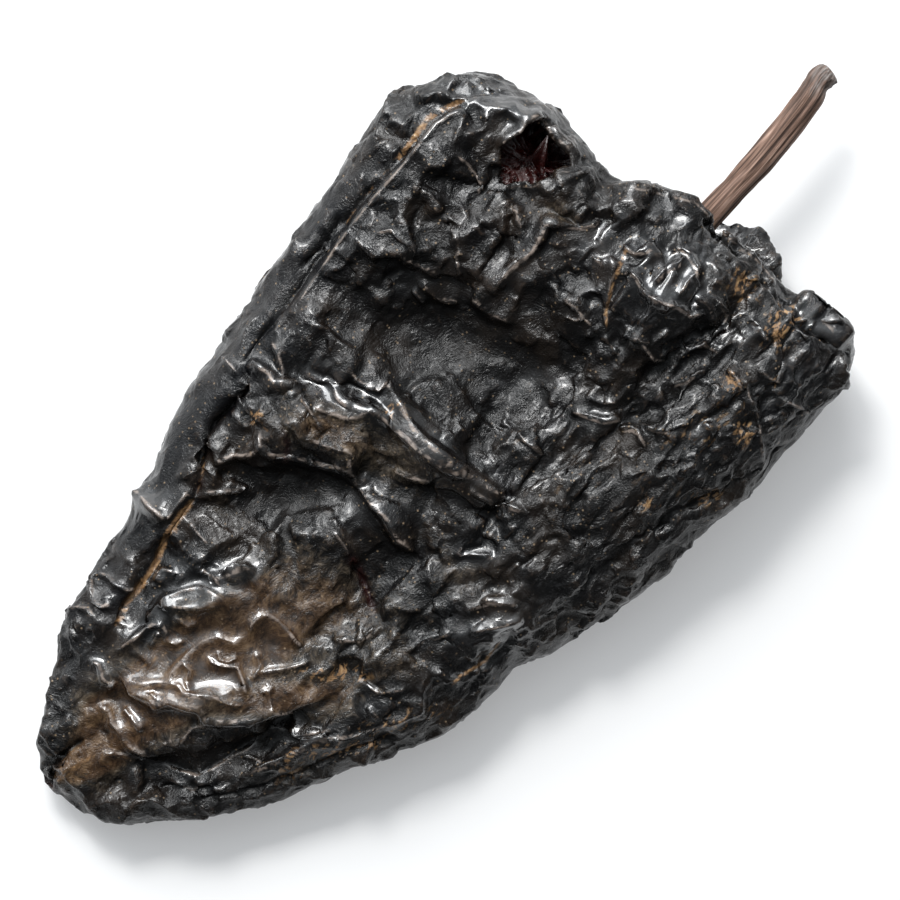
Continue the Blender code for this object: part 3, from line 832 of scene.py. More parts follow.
# Patches that lean one way: middle on the drafting grid, half lengths, direction, slope
LEANS = [(195, 598, 38, 14, 8, 0.46), (215, 668, 46, 36, 0, 0.36), (165, 571, 20, 10, 20, 0.34), (242, 571, 22, 9, 10, 0.34),
         (672, 280, 34, 28, 45, 0.44), (128, 714, 24, 12, -40, 0.34), (412, 436, 52, 12, -42, 0.34),
         (282, 638, 22, 24, 0, 0.26), (185, 694, 48, 9, -6, 0.30), (228, 711, 22, 8, 0, 0.32), (102, 668, 14, 18, 0, 0.32),
         (500, 620, 40, 22, 35, 0.26), (345, 396, 44, 12, -25, 0.34), (818, 331, 34, 10, -42, 0.30), (318, 741, 24, 7, 5, 0.34),
         (430, 285, 34, 16, 0, 0.28), (522, 268, 24, 15, 40, 0.28), (590, 244, 32, 15, 20, 0.30), (372, 505, 30, 26, -40, 0.26),
         (478, 560, 34, 14, 10, 0.28), (150, 500, 26, 14, 40, 0.30), (600, 420, 34, 12, 15, 0.30), (505, 110, 44, 16, -20, 0.28),
         (740, 340, 26, 12, 30, 0.28), (700, 430, 30, 10, 30, 0.26), (530, 380, 34, 12, 20, 0.20)]


def lean_patches(v, normal):
    """Tips broad facets of the upper skin up towards the picture's lower edge."""
    q = grid_of(v)
    up = np.zeros(len(v))
    for c, r, a, b, deg, slope in LEANS:
        w = gauss(q, c, r, a, b, deg)
        up += slope * UNIT * (0.31 * (q[:, 0] - c) + 0.95 * (q[:, 1] - r)) * np.minimum(1.4 * w, 1) * (w > 0.01)
    return v + normal * (up * top_share(v, normal))[:, None]


def lean_share(q):
    return np.clip(sum(gauss(q, c, r, a, b, deg) for c, r, a, b, deg, _ in LEANS), 0, 1)


def fold_lines(q, reach, sign=1):
    """1 along the folds' crest lines (or, with sign -1, along the creases), 0 beyond their reach."""
    out = np.zeros(len(q))
    for pts, h, wl, wr in FOLDS:
        if h * sign <= 0:
            continue
        p = np.asarray(pts, float)
        far = 3 * reach
        near = np.where((q[:, 0] > p[:, 0].min() - far) & (q[:, 0] < p[:, 0].max() + far)
                        & (q[:, 1] > p[:, 1].min() - far) & (q[:, 1] < p[:, 1].max() + far))[0]
        if len(near):
            d, _, t = polyline(q[near], pts)
            edge = np.clip(np.minimum(t, 1 - t) * 7 + 0.25, 0, 1) * min(1.0, abs(h) * 0.9)
            out[near] = np.maximum(out[near], edge * np.exp(-(d / reach) ** 2))
    return out


def calm_share(q, top, deep):
    """Where the skin stays broad and smooth: the left band, the two depressions, the lower left."""
    c = (gauss(q, 470, 350, 100, 60, 0) * 0.55 + gauss(q, 205, 655, 110, 60, 35) * 0.70
         + gauss(q, 300, 500, 60, 30, 0) * 0.5 + gauss(q, 430, 500, 50, 26, -45) * 0.4 + gauss(q, 190, 425, 70, 24, 57) * 0.95
         + gauss(q, 300, 265, 120, 26, 57) * 0.7 + gauss(q, 128, 540, 40, 16, 57) * 0.5)
    return np.clip((c + 0.45 * lean_share(q)) * deep, 0, 0.92) * top


def right_share(q):
    return np.clip(gauss(q, 680, 400, 240, 110, 45) * 1.3, 0, 1)


def add_bowls(v, quads, nb, mask, scales):
    """Crumples the skin into hollow facets with thin crests, long ones on the right half."""
    n = smooth(normals_of(v, quads), nb, mask, 3)
    n /= np.linalg.norm(n, axis=1, keepdims=True)
    q = grid_of(v)
    top = top_share(v, n)
    calm = calm_share(q, top, 1.0)
    right = step(0.3, 0.6, right_share(q) + 0.15 * in_parts(perlin, v, 0.008, 19))
    clear = 1 - 0.65 * fold_lines(q, 9.0)
    out = np.zeros(len(v))
    for size, height, seed in scales:
        iso = in_parts(bowls, v, size, seed)
        long_way = in_parts(bowls, v, (size * 1.5, size * 0.80, size * 0.80), seed + 9)
        r = iso * (1 - right) + (0.4 * iso + 0.6 * long_way) * right
        out += r * height * (1 - 0.85 * calm) * clear * (0.75 + 0.45 * in_parts(noise, v, size * 3.1, seed + 5))
    # gentler along the silhouette and down in the recess around the stem
    out *= 0.30 + 0.70 * step(0.05, 0.6, np.abs(n[:, 2]))
    root = v - np.array([(925 - ORIGIN_X) * UNIT, (STEM_Y - ORIGIN_Y) * UNIT, STEM_Z])
    out *= 1 - 0.8 * np.exp(-(np.linalg.norm(root, axis=1) / 0.009) ** 4)
    return v + n * out[:, None]


def build_pod():
    v, faces = plain_pod()
    v, quads = remeshed(v, faces, 0.00158)
    clock(f"plain pod {len(v)} points")
    goal = np.array([v.min(0), v.max(0)])
    goal[1, 2] = min(goal[1, 2], 0.0246)
    edge, _ = pairs_of(quads)
    nb, mask = padded(edge, len(v), 6)
    v = smooth(v, nb, mask, 4)
    n = smooth(normals_of(v, quads), nb, mask, 2)
    n /= np.linalg.norm(n, axis=1, keepdims=True)
    v = v - n * 0.00035
    v[:, 2] = np.maximum(v[:, 2], 0.00030)
    rng = np.random.default_rng(5)
    jit = rng.standard_normal(v.shape) * 0.00028
    v = v + jit - n * (jit * n).sum(1)[:, None]

    def grow0(v, n):
        q = grid_of(v)
        top = top_share(v, n)
        patchy = 0.5 + 0.5 * noise(v, 0.016, 3)
        right = right_share(q)
        across = 0.05 + 0.09 * patchy + 0.03 * right
        along = 0.04 + 0.08 * (1 - patchy) - 0.02 * right
        rim = 1 - 0.72 * step(0.45, 0.05, np.abs(n[:, 2]))
        calm = calm_share(q, top, 1.0)
        return along * (1 - calm) * rim, across * (1 - calm) * rim, fan(v)

    v, nb, mask = crumple(v, quads, 0.00158, grow0, 200, 0.07, 0.0030, 0.0002, 11, crest=0.22)
    clock("first crumple")

    v, quads = subdivided(v, quads)
    n = normals_of(v, quads)
    edge, _ = pairs_of(quads)
    nb, mask = padded(edge, len(v), 6)
    n = smooth(n, nb, mask, 4)
    n /= np.linalg.norm(n, axis=1, keepdims=True)
    v = lean_patches(v, n)
    v = add_folds(v, n, 0.5, 0.0)
    v = add_bowls(v, quads, nb, mask, [(0.0120, 0.0030, 101), (0.0072, 0.0017, 108)])
    rng = np.random.default_rng(6)
    jit = rng.standard_normal(v.shape) * 0.00014
    v = v + jit - n * (jit * n).sum(1)[:, None]

    def grow1(v, n):
        q = grid_of(v)
        top = top_share(v, n)
        patchy = 0.5 + 0.5 * noise(v, 0.009, 7)
        right = right_share(q)
        across = 0.03 + 0.060 * patchy + 0.045 * right
        along = 0.03 + 0.060 * (1 - patchy) - 0.020 * right
        calm = calm_share(q, top, 1.2)
        return along * (1 - calm), across * (1 - calm), fan(v)

    v, nb, mask = crumple(v, quads, 0.00079, grow1, 200, 0.03, 0.006, 0.0001, 12, crest=0.25)
    clock(f"second crumple {len(v)} points")

    v, quads = subdivided(v, quads)
    edge, _ = pairs_of(quads)
    nb, mask = padded(edge, len(v), 6)

    def grow2(v, n):
        q = grid_of(v)
        top = top_share(v, n)
        patchy = 0.5 + 0.5 * noise(v, 0.005, 17)
        right = right_share(q)
        across = 0.02 + 0.055 * patchy + 0.045 * right
        along = 0.02 + 0.050 * (1 - patchy)
        calm = calm_share(q, top, 1.3)
        return along * (1 - calm), across * (1 - calm), fan(v)

    v, nb, mask = crumple(v, quads, 0.000395, grow2, 110, 0.02, 0.010, 0.00002, 13, crest=0.25)
    v = sharpened(v, quads, nb, mask, 4, 0.6, -0.1)
    v = add_bowls(v, quads, nb, mask, [(0.0050, 0.00130, 104), (0.0029, 0.00060, 106)])
    clock(f"third crumple {len(v)} points")
    v = faceted(v, quads, 10.0, 26, 22, 0.9)
    v = sharpened(v, quads, nb, mask, 3, 0.4, 0.0)
    clock("facets and creases")

    # the finest mesh carries the thin crests and edges
    v, quads = subdivided(v, quads)
    edge, _ = pairs_of(quads)
    nb, mask = padded(edge, len(v), 6)
    v = sharpened(v, quads, nb, mask, 3, 0.9, 0.0)
    v = add_bowls(v, quads, nb, mask, [(0.0022, 0.00030, 105)])
    n = smooth(normals_of(v, quads), nb, mask, 5)
    n /= np.linalg.norm(n, axis=1, keepdims=True)
    v = add_folds(v, n, 0.75, 1.25)
    q = grid_of(v)
    right = step(0.25, 0.6, right_share(q))
    fine = in_parts(ridged, v, (0.0040, 0.0017, 0.0017), 111, 0.6) * right \
        + in_parts(ridged, v, (0.0030, 0.0021, 0.0021), 112, 0.5) * (1 - right) * 0.7
    fine *= (1 - 0.8 * calm_share(q, top_share(v, n), 1.2)) * (1 - 0.5 * fold_lines(q, 7.0))
    v = v + n * ((fine - 0.35) * 0.00032 * (0.4 + 0.6 * step(0.05, 0.6, np.abs(n[:, 2]))))[:, None]
    low, high = v.min(0), v.max(0)
    for ax in range(3):
        v[:, ax] = goal[0, ax] + (v[:, ax] - low[ax]) * (goal[1, ax] - goal[0, ax]) / (high[ax] - low[ax])
    v[:, 2] = np.maximum(v[:, 2], 0.00002)
    clock(f"crests and edges {len(v)} points")
    return v, quads, nb, mask


# ================================================================ torn hole and what shows inside
def point_in(q, poly):
    poly = np.asarray(poly, float)
    inside = np.zeros(len(q), bool)
    for (x0, y0), (x1, y1) in zip(poly, np.roll(poly, -1, 0)):
        cross = (y0 > q[:, 1]) != (y1 > q[:, 1])
        with np.errstate(divide="ignore", invalid="ignore"):
            at = x0 + (q[:, 1] - y0) * (x1 - x0) / (y1 - y0)
        inside ^= cross & (q[:, 0] < at)
    return inside


def patches_of(quads, pick):
    """The picked faces, in groups that join along edges, largest first."""
    ids = np.where(pick)[0]
    f = quads[ids]
    by_edge = {}
    for k, face in enumerate(f.tolist()):
        for i in range(4):
            a, b = face[i], face[(i + 1) % 4]
            by_edge.setdefault((a, b) if a < b else (b, a), []).append(k)
    near = [[] for _ in ids]
    for group in by_edge.values():
        if len(group) == 2:
            near[group[0]].append(group[1])
            near[group[1]].append(group[0])
    seen = np.zeros(len(ids), bool)
    out = []
    for k in range(len(ids)):
        if seen[k]:
            continue
        seen[k] = True
        todo, part = [k], []
        while todo:
            at = todo.pop()
            part.append(at)
            for other in near[at]:
                if not seen[other]:
                    seen[other] = True
                    todo.append(other)
        out.append(ids[part])
    return sorted(out, key=len, reverse=True)


def tidy_cut(v, quads, gone, c):
    """Makes the faces to take out one patch with one plain edge."""
    mid = c[gone].mean(0)
    far = np.linalg.norm(c - mid, axis=1)
    for _ in range(25):
        one = patches_of(quads, gone)[0]
        gone = np.zeros(len(quads), bool)
        gone[one] = True
        rest = patches_of(quads, ~gone & (far < 0.016))
        for part in rest:
            if far[part].max() < 0.0145:
                gone[part] = True
        g = quads[gone]
        e = np.concatenate([g[:, [i, (i + 1) % 4]] for i in range(4)]).astype(np.int64)
        key, back = e[:, 0] * len(v) + e[:, 1], e[:, 1] * len(v) + e[:, 0]
        edge = e[~np.isin(key, back)]
        pinch = np.bincount(edge[:, 0], minlength=len(v)) > 1
        if not pinch.any():
            return gone
        gone |= pinch[quads].any(1)
    return gone


def open_hole(v, quads):
    """Takes the skin out of the torn hole and sews a lip and a closed inner hollow to its edge."""
    c = v[quads].mean(1)
    gone = point_in(grid_of(c), HOLE) & (c[:, 2] > 0.0110)
    for _ in range(12):
        corner_gone = np.bincount(quads[gone].ravel(), minlength=len(v))
        corner_all = np.bincount(quads.ravel(), minlength=len(v))
        ragged = gone & ((corner_gone[quads] < corner_all[quads]).sum(1) == 4)
        lonely = (~gone) & ((corner_gone[quads] > 0).sum(1) == 4)
        if not ragged.any() and not lonely.any():
            break
        gone = (gone & ~ragged) | lonely
    gone = tidy_cut(v, quads, gone, c)
    e = np.concatenate([quads[gone][:, [i, (i + 1) % 4]] for i in range(4)])
    have = {(int(a), int(b)) for a, b in e}
    follow = {}
    for a, b in have:
        if (b, a) not in have:
            follow.setdefault(a, []).append(b)
    loops = []
    left = {a: list(bs) for a, bs in follow.items()}
    while left:
        a0 = min(left)
        loop, a = [a0], a0
        while left.get(a):
            b = left[a].pop()
            if not left[a]:
                del left[a]
            if b == a0:
                break
            loop.append(b)
            a = b
        loops.append(loop)
    loop = np.array(max(loops, key=len))
    assert len(loops) == 1 and len(set(loop.tolist())) == len(loop), "the hole's edge isn't one plain loop"

    # draw the edge onto the torn outline, a little ragged
    out = np.asarray(HOLE + HOLE[:1], float)
    q = grid_of(v[loop])
    near = np.full(len(q), 1e9)
    snap = q.copy()
    for k in range(len(out) - 1):
        seg = out[k + 1] - out[k]
        t = np.clip(((q - out[k]) @ seg) / (seg @ seg), 0, 1)
        p = out[k] + t[:, None] * seg
        d = np.linalg.norm(q - p, axis=1)
        snap = np.where((d < near)[:, None], p, snap)
        near = np.minimum(near, d)
    snap = q + (snap - q) * np.minimum(1, 3.0 / np.maximum(near, 1e-6))[:, None]
    ragged = perlin(v[loop], 0.0009, 61) * 1.2
    xy = metres(turned(snap))
    for _ in range(2):
        xy = 0.5 * xy + 0.25 * (np.roll(xy, 1, 0) + np.roll(xy, -1, 0))
    centre = xy.mean(0)
    away = xy - centre
    away /= np.linalg.norm(away, axis=1, keepdims=True)
    tang = np.roll(xy, -1, 0) - np.roll(xy, 1, 0)
    outward = np.stack([tang[:, 1], -tang[:, 0]], -1)
    outward /= np.maximum(np.linalg.norm(outward, axis=1, keepdims=True), 1e-9)
    outward *= np.sign((outward * away).sum(1).mean())
    for _ in range(6):
        outward = 0.5 * outward + 0.25 * (np.roll(outward, 1, 0) + np.roll(outward, -1, 0))
    xy = xy + outward * (ragged * UNIT)[:, None]
    v[loop, :2] = xy
    z = v[loop, 2]
    for _ in range(2):
        z = 0.5 * z + 0.25 * (np.roll(z, 1) + np.roll(z, -1))
    v[loop, 2] = z
    keep = quads[~gone]

    from mathutils.bvhtree import BVHTree
    near_hole = np.linalg.norm(v[:, :2] - centre, axis=1) < 0.030
    pick = keep[near_hole[keep].all(1)]
    tree = BVHTree.FromPolygons([Vector(p) for p in v], pick.tolist())

    def floor_depth(p):
        g = grid_of(p)
        return (0.0022 + 0.0050 * step(512, 572, g[:, 0] + 0.35 * (160 - g[:, 1]))
                + 0.0016 * step(176, 140, g[:, 1]))

    rings = [(0.00010, 0.00016, 1.0, 0.0), (0.00004, 0.00042, 1.0, 0.0), (0.00030, 0.00070, 1.0, 0.0),
             (0.0009, 0.0008, 1.0, 0.10), (0.0015, 0.0008, 1.0, 0.25), (0.0020, 0.0008, 1.0, 0.42),
             (0.0021, 0.0008, 1.0, 0.60), (0.0017, 0.0008, 1.0, 0.76), (0.0010, 0.0008, 1.0, 0.88),
             (0.0004, 0.0008, 0.97, 0.96), (0.0, 0.0008, 0.90, 1.0), (0.0, 0.0008, 0.80, 1.02),
             (0.0, 0.0008, 0.70, 1.03), (0.0, 0.0008, 0.60, 1.03), (0.0, 0.0008, 0.50, 1.03),
             (0.0, 0.0008, 0.40, 1.03), (0.0, 0.0008, 0.30, 1.03), (0.0, 0.0008, 0.20, 1.03),
             (0.0, 0.0008, 0.10, 1.03)]
    verts, quads2, tris = [v], [keep], []
    base, last = len(v), loop
    m = len(loop)
    ring_no = np.zeros(len(v))
    for k, (push, drop_, shrink, frac) in enumerate(rings):
        p = np.empty((m, 3))
        p[:, :2] = centre + (xy + outward * push - centre) * shrink
        f = min(1.0, k / 10.0)
        level = z * (1 - f) + z.mean() * f
        p[:, 2] = level - drop_ - frac * floor_depth(p)
        if k >= 3:
            wr = ridged(p, (0.0016, 0.0030, 0.0022), 63, 0.9) - 0.5
            p[:, 2] += wr * 0.0011 * min(1.0, (k - 2) / 3.0)
            p[:, 2] += perlin(p, 0.0009, 64) * 0.00016
        if k >= 2:
            for i in range(m):
                loc, nrm, _, dist = tree.find_nearest(Vector(p[i]))
                if loc is not None and (Vector(p[i]) - loc).dot(nrm) > -0.00035:
                    p[i] = np.array(loc - nrm * 0.00035)
        p[:, 2] = np.maximum(p[:, 2], 0.0030)
        verts.append(p)
        ids = base + np.arange(m)
        nxt = np.roll(np.arange(m), -1)
        quads2.append(np.stack([last, last[nxt], ids[nxt], ids], 1))
        ring_no = np.concatenate([ring_no, np.full(m, k + 1.0)])
        last, base = ids, base + m
    tip = verts[-1].mean(0, keepdims=True)
    verts.append(tip)
    ring_no = np.concatenate([ring_no, [len(rings) + 1.0]])
    nxt = np.roll(np.arange(m), -1)
    tris = np.stack([last, last[nxt], np.full(m, base)], 1)
    v = np.concatenate(verts)
    return v, np.concatenate(quads2), tris, ring_no


# ================================================================ colour regions and veins
BROWN = [(205, 628, 100, 15, 38, 0.7), (270, 700, 60, 14, 10, 0.5), (140, 712, 46, 12, -10, 0.6), (175, 665, 120, 60, 30, 0.55), (115, 735, 70, 40, 35, 0.9), (255, 640, 80, 50, 20, 0.85),
         (318, 430, 62, 36, -25, 0.75), (322, 575, 80, 40, -60, 0.45), (405, 470, 70, 35, -40, 0.5),
         (400, 620, 60, 50, 0, 0.5), (330, 700, 70, 30, 10, 0.65), (562, 220, 32, 18, 0, 0.55),
         (78, 768, 36, 16, 20, 0.8), (450, 560, 60, 30, -30, 0.35), (300, 770, 60, 22, 15, 0.55),
         (720, 300, 60, 40, 45, 0.35), (690, 480, 80, 30, 45, 0.3), (430, 120, 50, 20, 30, 0.35),
         (230, 500, 30, 20, 0, 0.3), (520, 170, 40, 30, 0, 0.35)]
BLUE_SHEEN = [(190, 425, 90, 30, 57, 1.0), (310, 255, 130, 30, 57, 0.9), (105, 600, 60, 22, 57, 0.8),
        (640, 270, 60, 45, 45, 0.5), (500, 90, 60, 22, -20, 0.5), (800, 370, 50, 40, 45, 0.4)]
SHINE = [(205, 640, 110, 55, 25, 1.0), (190, 600, 60, 30, 40, 0.7), (660, 280, 60, 50, 45, 1.0),
         (350, 400, 80, 26, -30, 0.8), (440, 450, 60, 16, -40, 0.9), (500, 620, 60, 36, 40, 0.7),
         (490, 110, 60, 26, -20, 0.6), (150, 500, 50, 30, 50, 0.6), (320, 700, 80, 24, 10, 0.6),
         (810, 350, 50, 30, 45, 0.5), (480, 500, 60, 30, 30, 0.5)]
DULL_AND_SHADED = [(210, 624, 80, 12, 38, 0.7), (262, 696, 14, 24, 0, 0.5), (470, 360, 100, 55, 0, 0.9), (290, 505, 75, 32, 5, 1.0), (410, 600, 60, 36, 0, 0.5), (245, 620, 30, 22, 20, 0.5),
        (620, 500, 120, 40, 45, 0.5), (250, 790, 110, 14, 12, 0.7), (190, 425, 70, 24, 57, 0.4)]
VEINS = [([(465, 104), (446, 112), (428, 123), (416, 140), (403, 157), (395, 165)], 2.6, 1.0),
         ([(395, 165), (380, 183), (360, 205), (345, 228)], 1.8, 0.45),
         ([(195, 500), (178, 520), (168, 535), (158, 560), (143, 583), (128, 603), (117, 625)], 3.0, 1.0),
         ([(203, 445), (205, 470), (195, 500)], 2.0, 0.5),
         ([(625, 250), (610, 285), (603, 315), (604, 330)], 1.8, 0.8),
         ([(500, 640), (485, 660), (460, 675), (450, 685)], 1.8, 0.8),
         ([(97, 705), (118, 690), (140, 668), (170, 650), (200, 640)], 1.6, 0.5),
         ([(258, 412), (266, 428), (280, 440)], 1.6, 0.5),
         ([(55, 782), (75, 768), (95, 753)], 3.0, 0.7)]
GOLD = [(335, 672, 38, 9, 0, 1.0), (318, 752, 30, 8, 5, 0.8), (362, 746, 20, 6, 10, 0.8),
        (285, 775, 20, 16, 0, 0.6), (395, 410, 12, 9, 0, 0.8), (258, 418, 8, 8, 0, 0.9),
        (738, 288, 15, 17, 30, 1.0), (778, 326, 18, 24, -30, 0.9), (648, 505, 12, 7, 0, 0.5),
        (708, 497, 22, 9, 0, 0.6), (730, 383, 9, 12, 0, 0.7), (771, 384, 9, 6, 0, 0.5),
        (742, 437, 10, 16, 0, 0.6), (575, 480, 60, 30, 45, 0.25), (690, 440, 90, 40, 45, 0.35),
        (400, 720, 60, 14, 15, 0.5), (220, 735, 80, 14, 5, 0.3), (530, 440, 30, 20, 0, 0.25)]
RED = [([(350, 555), (359, 565), (366, 590), (374, 611)], 3.5, 0.8), ([(40, 783), (52, 792), (66, 800)], 4.0, 0.7),
       ([(284, 430), (290, 445), (285, 462)], 3.0, 0.4), ([(203, 478), (198, 492)], 3.0, 0.4),
       ([(66, 606), (74, 600)], 3.0, 0.7), ([(650, 300), (664, 316)], 3.0, 0.3)]


def regions(q, table):
    return np.clip(sum(w * gauss(q, c, r, a, b, d) for c, r, a, b, d, w in table), 0, 1)


def lines(q, table):
    out = np.zeros(len(q))
    for pts, width, w in table:
        p = np.asarray(pts, float)
        far = 5 * width
        near = np.where((q[:, 0] > p[:, 0].min() - far) & (q[:, 0] < p[:, 0].max() + far)
                        & (q[:, 1] > p[:, 1].min() - far) & (q[:, 1] < p[:, 1].max() + far))[0]
        if len(near):
            d, _, t = polyline(q[near], pts)
            out[near] = np.maximum(out[near], w * np.exp(-(d / width) ** 2) * np.clip(np.minimum(t, 1 - t) * 8 + 0.4, 0, 1))
    return out


def layered(p, size, seed, octaves=4, gain=0.55):
    """Noise in octaves, scaled to run from about 0 to 1."""
    total, amount = 0, 0.0
    for k in range(octaves):
        total = total + gain ** k * perlin(p, np.asarray(size) * 0.5 ** k, seed + k)
        amount += gain ** (2 * k)
    return 0.5 + 0.33 * total / math.sqrt(amount)


def paint(v, tris, ring_no):
    """Named point values that the skin's material reads."""
    e = np.concatenate([tris[:, [i, (i + 1) % 3]] for i in range(3)])
    e = np.unique(np.sort(e, 1), axis=0)
    nb, mask = padded(np.concatenate([e, e[:, ::-1]]), len(v), 8)
    n = normals_of(v, tris[:, [0, 1, 2, 2]])
    n2 = smooth(n, nb, mask, 2)
    n2 /= np.maximum(np.linalg.norm(n2, axis=1, keepdims=True), 1e-9)
    fine = ((v - smooth(v, nb, mask, 3)) * n2).sum(1)
    wide = ((v - smooth(v, nb, mask, 50)) * n2).sum(1)
    ridge = np.clip(fine / 0.00010, -1, 1)
    swell = np.clip(wide / 0.00060, -1, 1)
    q = grid_of(v)
    top = top_share(v, n2)
    side = 1 - top
    inner = step(1.5, 4.0, ring_no)
    patch_ = 0.5 + 0.5 * perlin(v, (0.020, 0.012, 0.012), 71)
    under_brown = side * np.clip(0.10 + 1.1 * (patch_ - 0.45), 0, 0.8)
    brown = regions(q, BROWN) * top + under_brown
    blue_sheen = regions(q, BLUE_SHEEN) * top + side * 0.3
    shine = np.clip(0.6 * regions(q, SHINE) + 0.8 * lean_share(q), 0, 1) * top + side * np.clip(patch_ * 0.8, 0, 1) * 0.6
    dull_and_shaded = regions(q, DULL_AND_SHADED) * top + side * np.clip(1 - patch_ * 1.6, 0, 1) * 0.5
    streak = ridged(v, (0.0050, 0.0011, 0.0011), 72, 0.6)
    gold = regions(q, GOLD) * top + side * step(0.62, 0.8, patch_) * 0.35
    gold = gold * step(0.55, 0.85, streak + 0.35 * gold)
    veins = lines(q, VEINS) * top
    # faint veins run down the whole pod, as a dried fruit's do
    far = v - np.array([-0.190, -0.004, 0.0])
    fan_angle = np.arctan2(far[:, 1], far[:, 0])
    faint = np.exp(-((np.sin(fan_angle * 62 + 1.5 * perlin(v, 0.02, 73)) ) / 0.06) ** 2) * step(0.15, 0.5, perlin(v, 0.018, 74))
    veins = np.clip(veins + 0.30 * faint * (0.35 + 0.65 * side) , 0, 1)
    red = lines(q, RED) * top
    crest_line = fold_lines(q, 1.9) * top
    crease_shade_mask = fold_lines(q, 3.5, -1) * top
    bent = v + 0.0011 * np.stack([perlin(v, 0.0040, 81 + k) + 0.4 * perlin(v, 0.0016, 84 + k) for k in range(3)], -1)
    return {"ridge": ridge, "swell": swell, "brown": np.clip(brown, 0, 1) * (1 - inner), "blue_sheen": blue_sheen * (1 - inner),
            "crest": crest_line, "crease": crease_shade_mask, "shine": shine, "dull_and_shaded": dull_and_shaded, "gold": gold * (1 - inner), "vein": veins * (1 - inner),
            "red": np.clip(red, 0, 1) * (1 - inner), "inner": inner,
            "right": right_share(q) * top + side * 0.5, "bent": bent,
            "patchy": layered(bent, 0.0080, 91, 5), "wave": layered(bent, 0.0034, 97, 4),
            "soil": layered(bent, 0.0026, 103, 3)}


# ================================================================ materials
def new_material(name):
    m = bpy.data.materials.new(name)
    m.use_nodes = True
    nt = m.node_tree
    nt.nodes.clear()
    out = nt.nodes.new("ShaderNodeOutputMaterial")
    bsdf = nt.nodes.new("ShaderNodeBsdfPrincipled")
    nt.links.new(bsdf.outputs[0], out.inputs[0])
    return m, nt, bsdf


class Graph:
    """Short calls for shader nodes."""

    def __init__(self, name):
        self.m, self.nt, self.bsdf = new_material(name)
        self.coord = self.nt.nodes.new("ShaderNodeTexCoord").outputs["Object"]

    def put(self, socket, value):
        if hasattr(value, "is_output"):
            self.nt.links.new(value, socket)
        elif isinstance(value, (tuple, list)):
            socket.default_value = (*value, 1) if len(value) == 3 and len(socket.default_value) == 4 else value
        else:
            socket.default_value = value

    def value(self, name):
        n = self.nt.nodes.new("ShaderNodeAttribute")
        n.attribute_type, n.attribute_name = 'GEOMETRY', name
        return n.outputs["Fac"]

    def vector(self, name):
        n = self.nt.nodes.new("ShaderNodeAttribute")
        n.attribute_type, n.attribute_name = 'GEOMETRY', name
        return n.outputs["Vector"]

    def math(self, op, a, b=0.0, c=0.0, clamp=False):
        n = self.nt.nodes.new("ShaderNodeMath")
        n.operation, n.use_clamp = op, clamp
        self.put(n.inputs[0], a)
        self.put(n.inputs[1], b)
        if op in ('MULTIPLY_ADD', 'SMOOTH_MIN'):
            self.put(n.inputs[2], c)
        return n.outputs[0]

    def span(self, x, a, b, lo=0.0, hi=1.0, smooth_=True):
        n = self.nt.nodes.new("ShaderNodeMapRange")
        n.interpolation_type = 'SMOOTHSTEP' if smooth_ else 'LINEAR'
        for k, val in enumerate((x, a, b, lo, hi)):
            self.put(n.inputs[k], val)
        return n.outputs[0]

    def stretch(self, scale, turn=0.0):
        n = self.nt.nodes.new("ShaderNodeMapping")
        self.put(n.inputs["Vector"], self.coord)
        n.inputs["Scale"].default_value = scale
        n.inputs["Rotation"].default_value = (0, 0, turn)
        return n.outputs[0]

    def noise(self, vec, scale, detail=3.0, rough=0.55, warp=0.0, kind='FBM'):
        n = self.nt.nodes.new("ShaderNodeTexNoise")
        n.noise_type = kind
        self.put(n.inputs["Vector"], vec)
        n.inputs["Scale"].default_value = scale
        n.inputs["Detail"].default_value = detail
        n.inputs["Roughness"].default_value = rough
        n.inputs["Distortion"].default_value = warp
        return n.outputs["Fac"]

    def cells(self, vec, scale, feature='DISTANCE_TO_EDGE', out="Distance", random=1.0):
        n = self.nt.nodes.new("ShaderNodeTexVoronoi")
        n.feature = feature
        self.put(n.inputs["Vector"], vec)
        n.inputs["Scale"].default_value = scale
        n.inputs["Randomness"].default_value = random
        return n.outputs[out]

    def ramp(self, x, stops):
        n = self.nt.nodes.new("ShaderNodeValToRGB")
        r = n.color_ramp
        while len(r.elements) < len(stops):
            r.elements.new(0.5)
        for el, (pos, col) in zip(r.elements, stops):
            el.position, el.color = pos, (*col, 1)
        self.put(n.inputs["Fac"], x)
        return n.outputs["Color"]

    def mix(self, f, a, b, mode='MIX'):
        n = self.nt.nodes.new("ShaderNodeMix")
        n.data_type, n.blend_type = 'RGBA', mode
        self.put(n.inputs[0], f)
        self.put(n.inputs[6], a)
        self.put(n.inputs[7], b)
        return n.outputs[2]

    def bump(self, height, distance, strength=1.0, normal=None):
        n = self.nt.nodes.new("ShaderNodeBump")
        n.inputs["Strength"].default_value = strength
        n.inputs["Distance"].default_value = distance
        self.put(n.inputs["Height"], height)
        if normal is not None:
            self.put(n.inputs["Normal"], normal)
        return n.outputs[0]


def scaled(g, vec, scale):
    n = g.nt.nodes.new("ShaderNodeMapping")
    g.put(n.inputs["Vector"], vec)
    n.inputs["Scale"].default_value = scale
    return n.outputs[0]


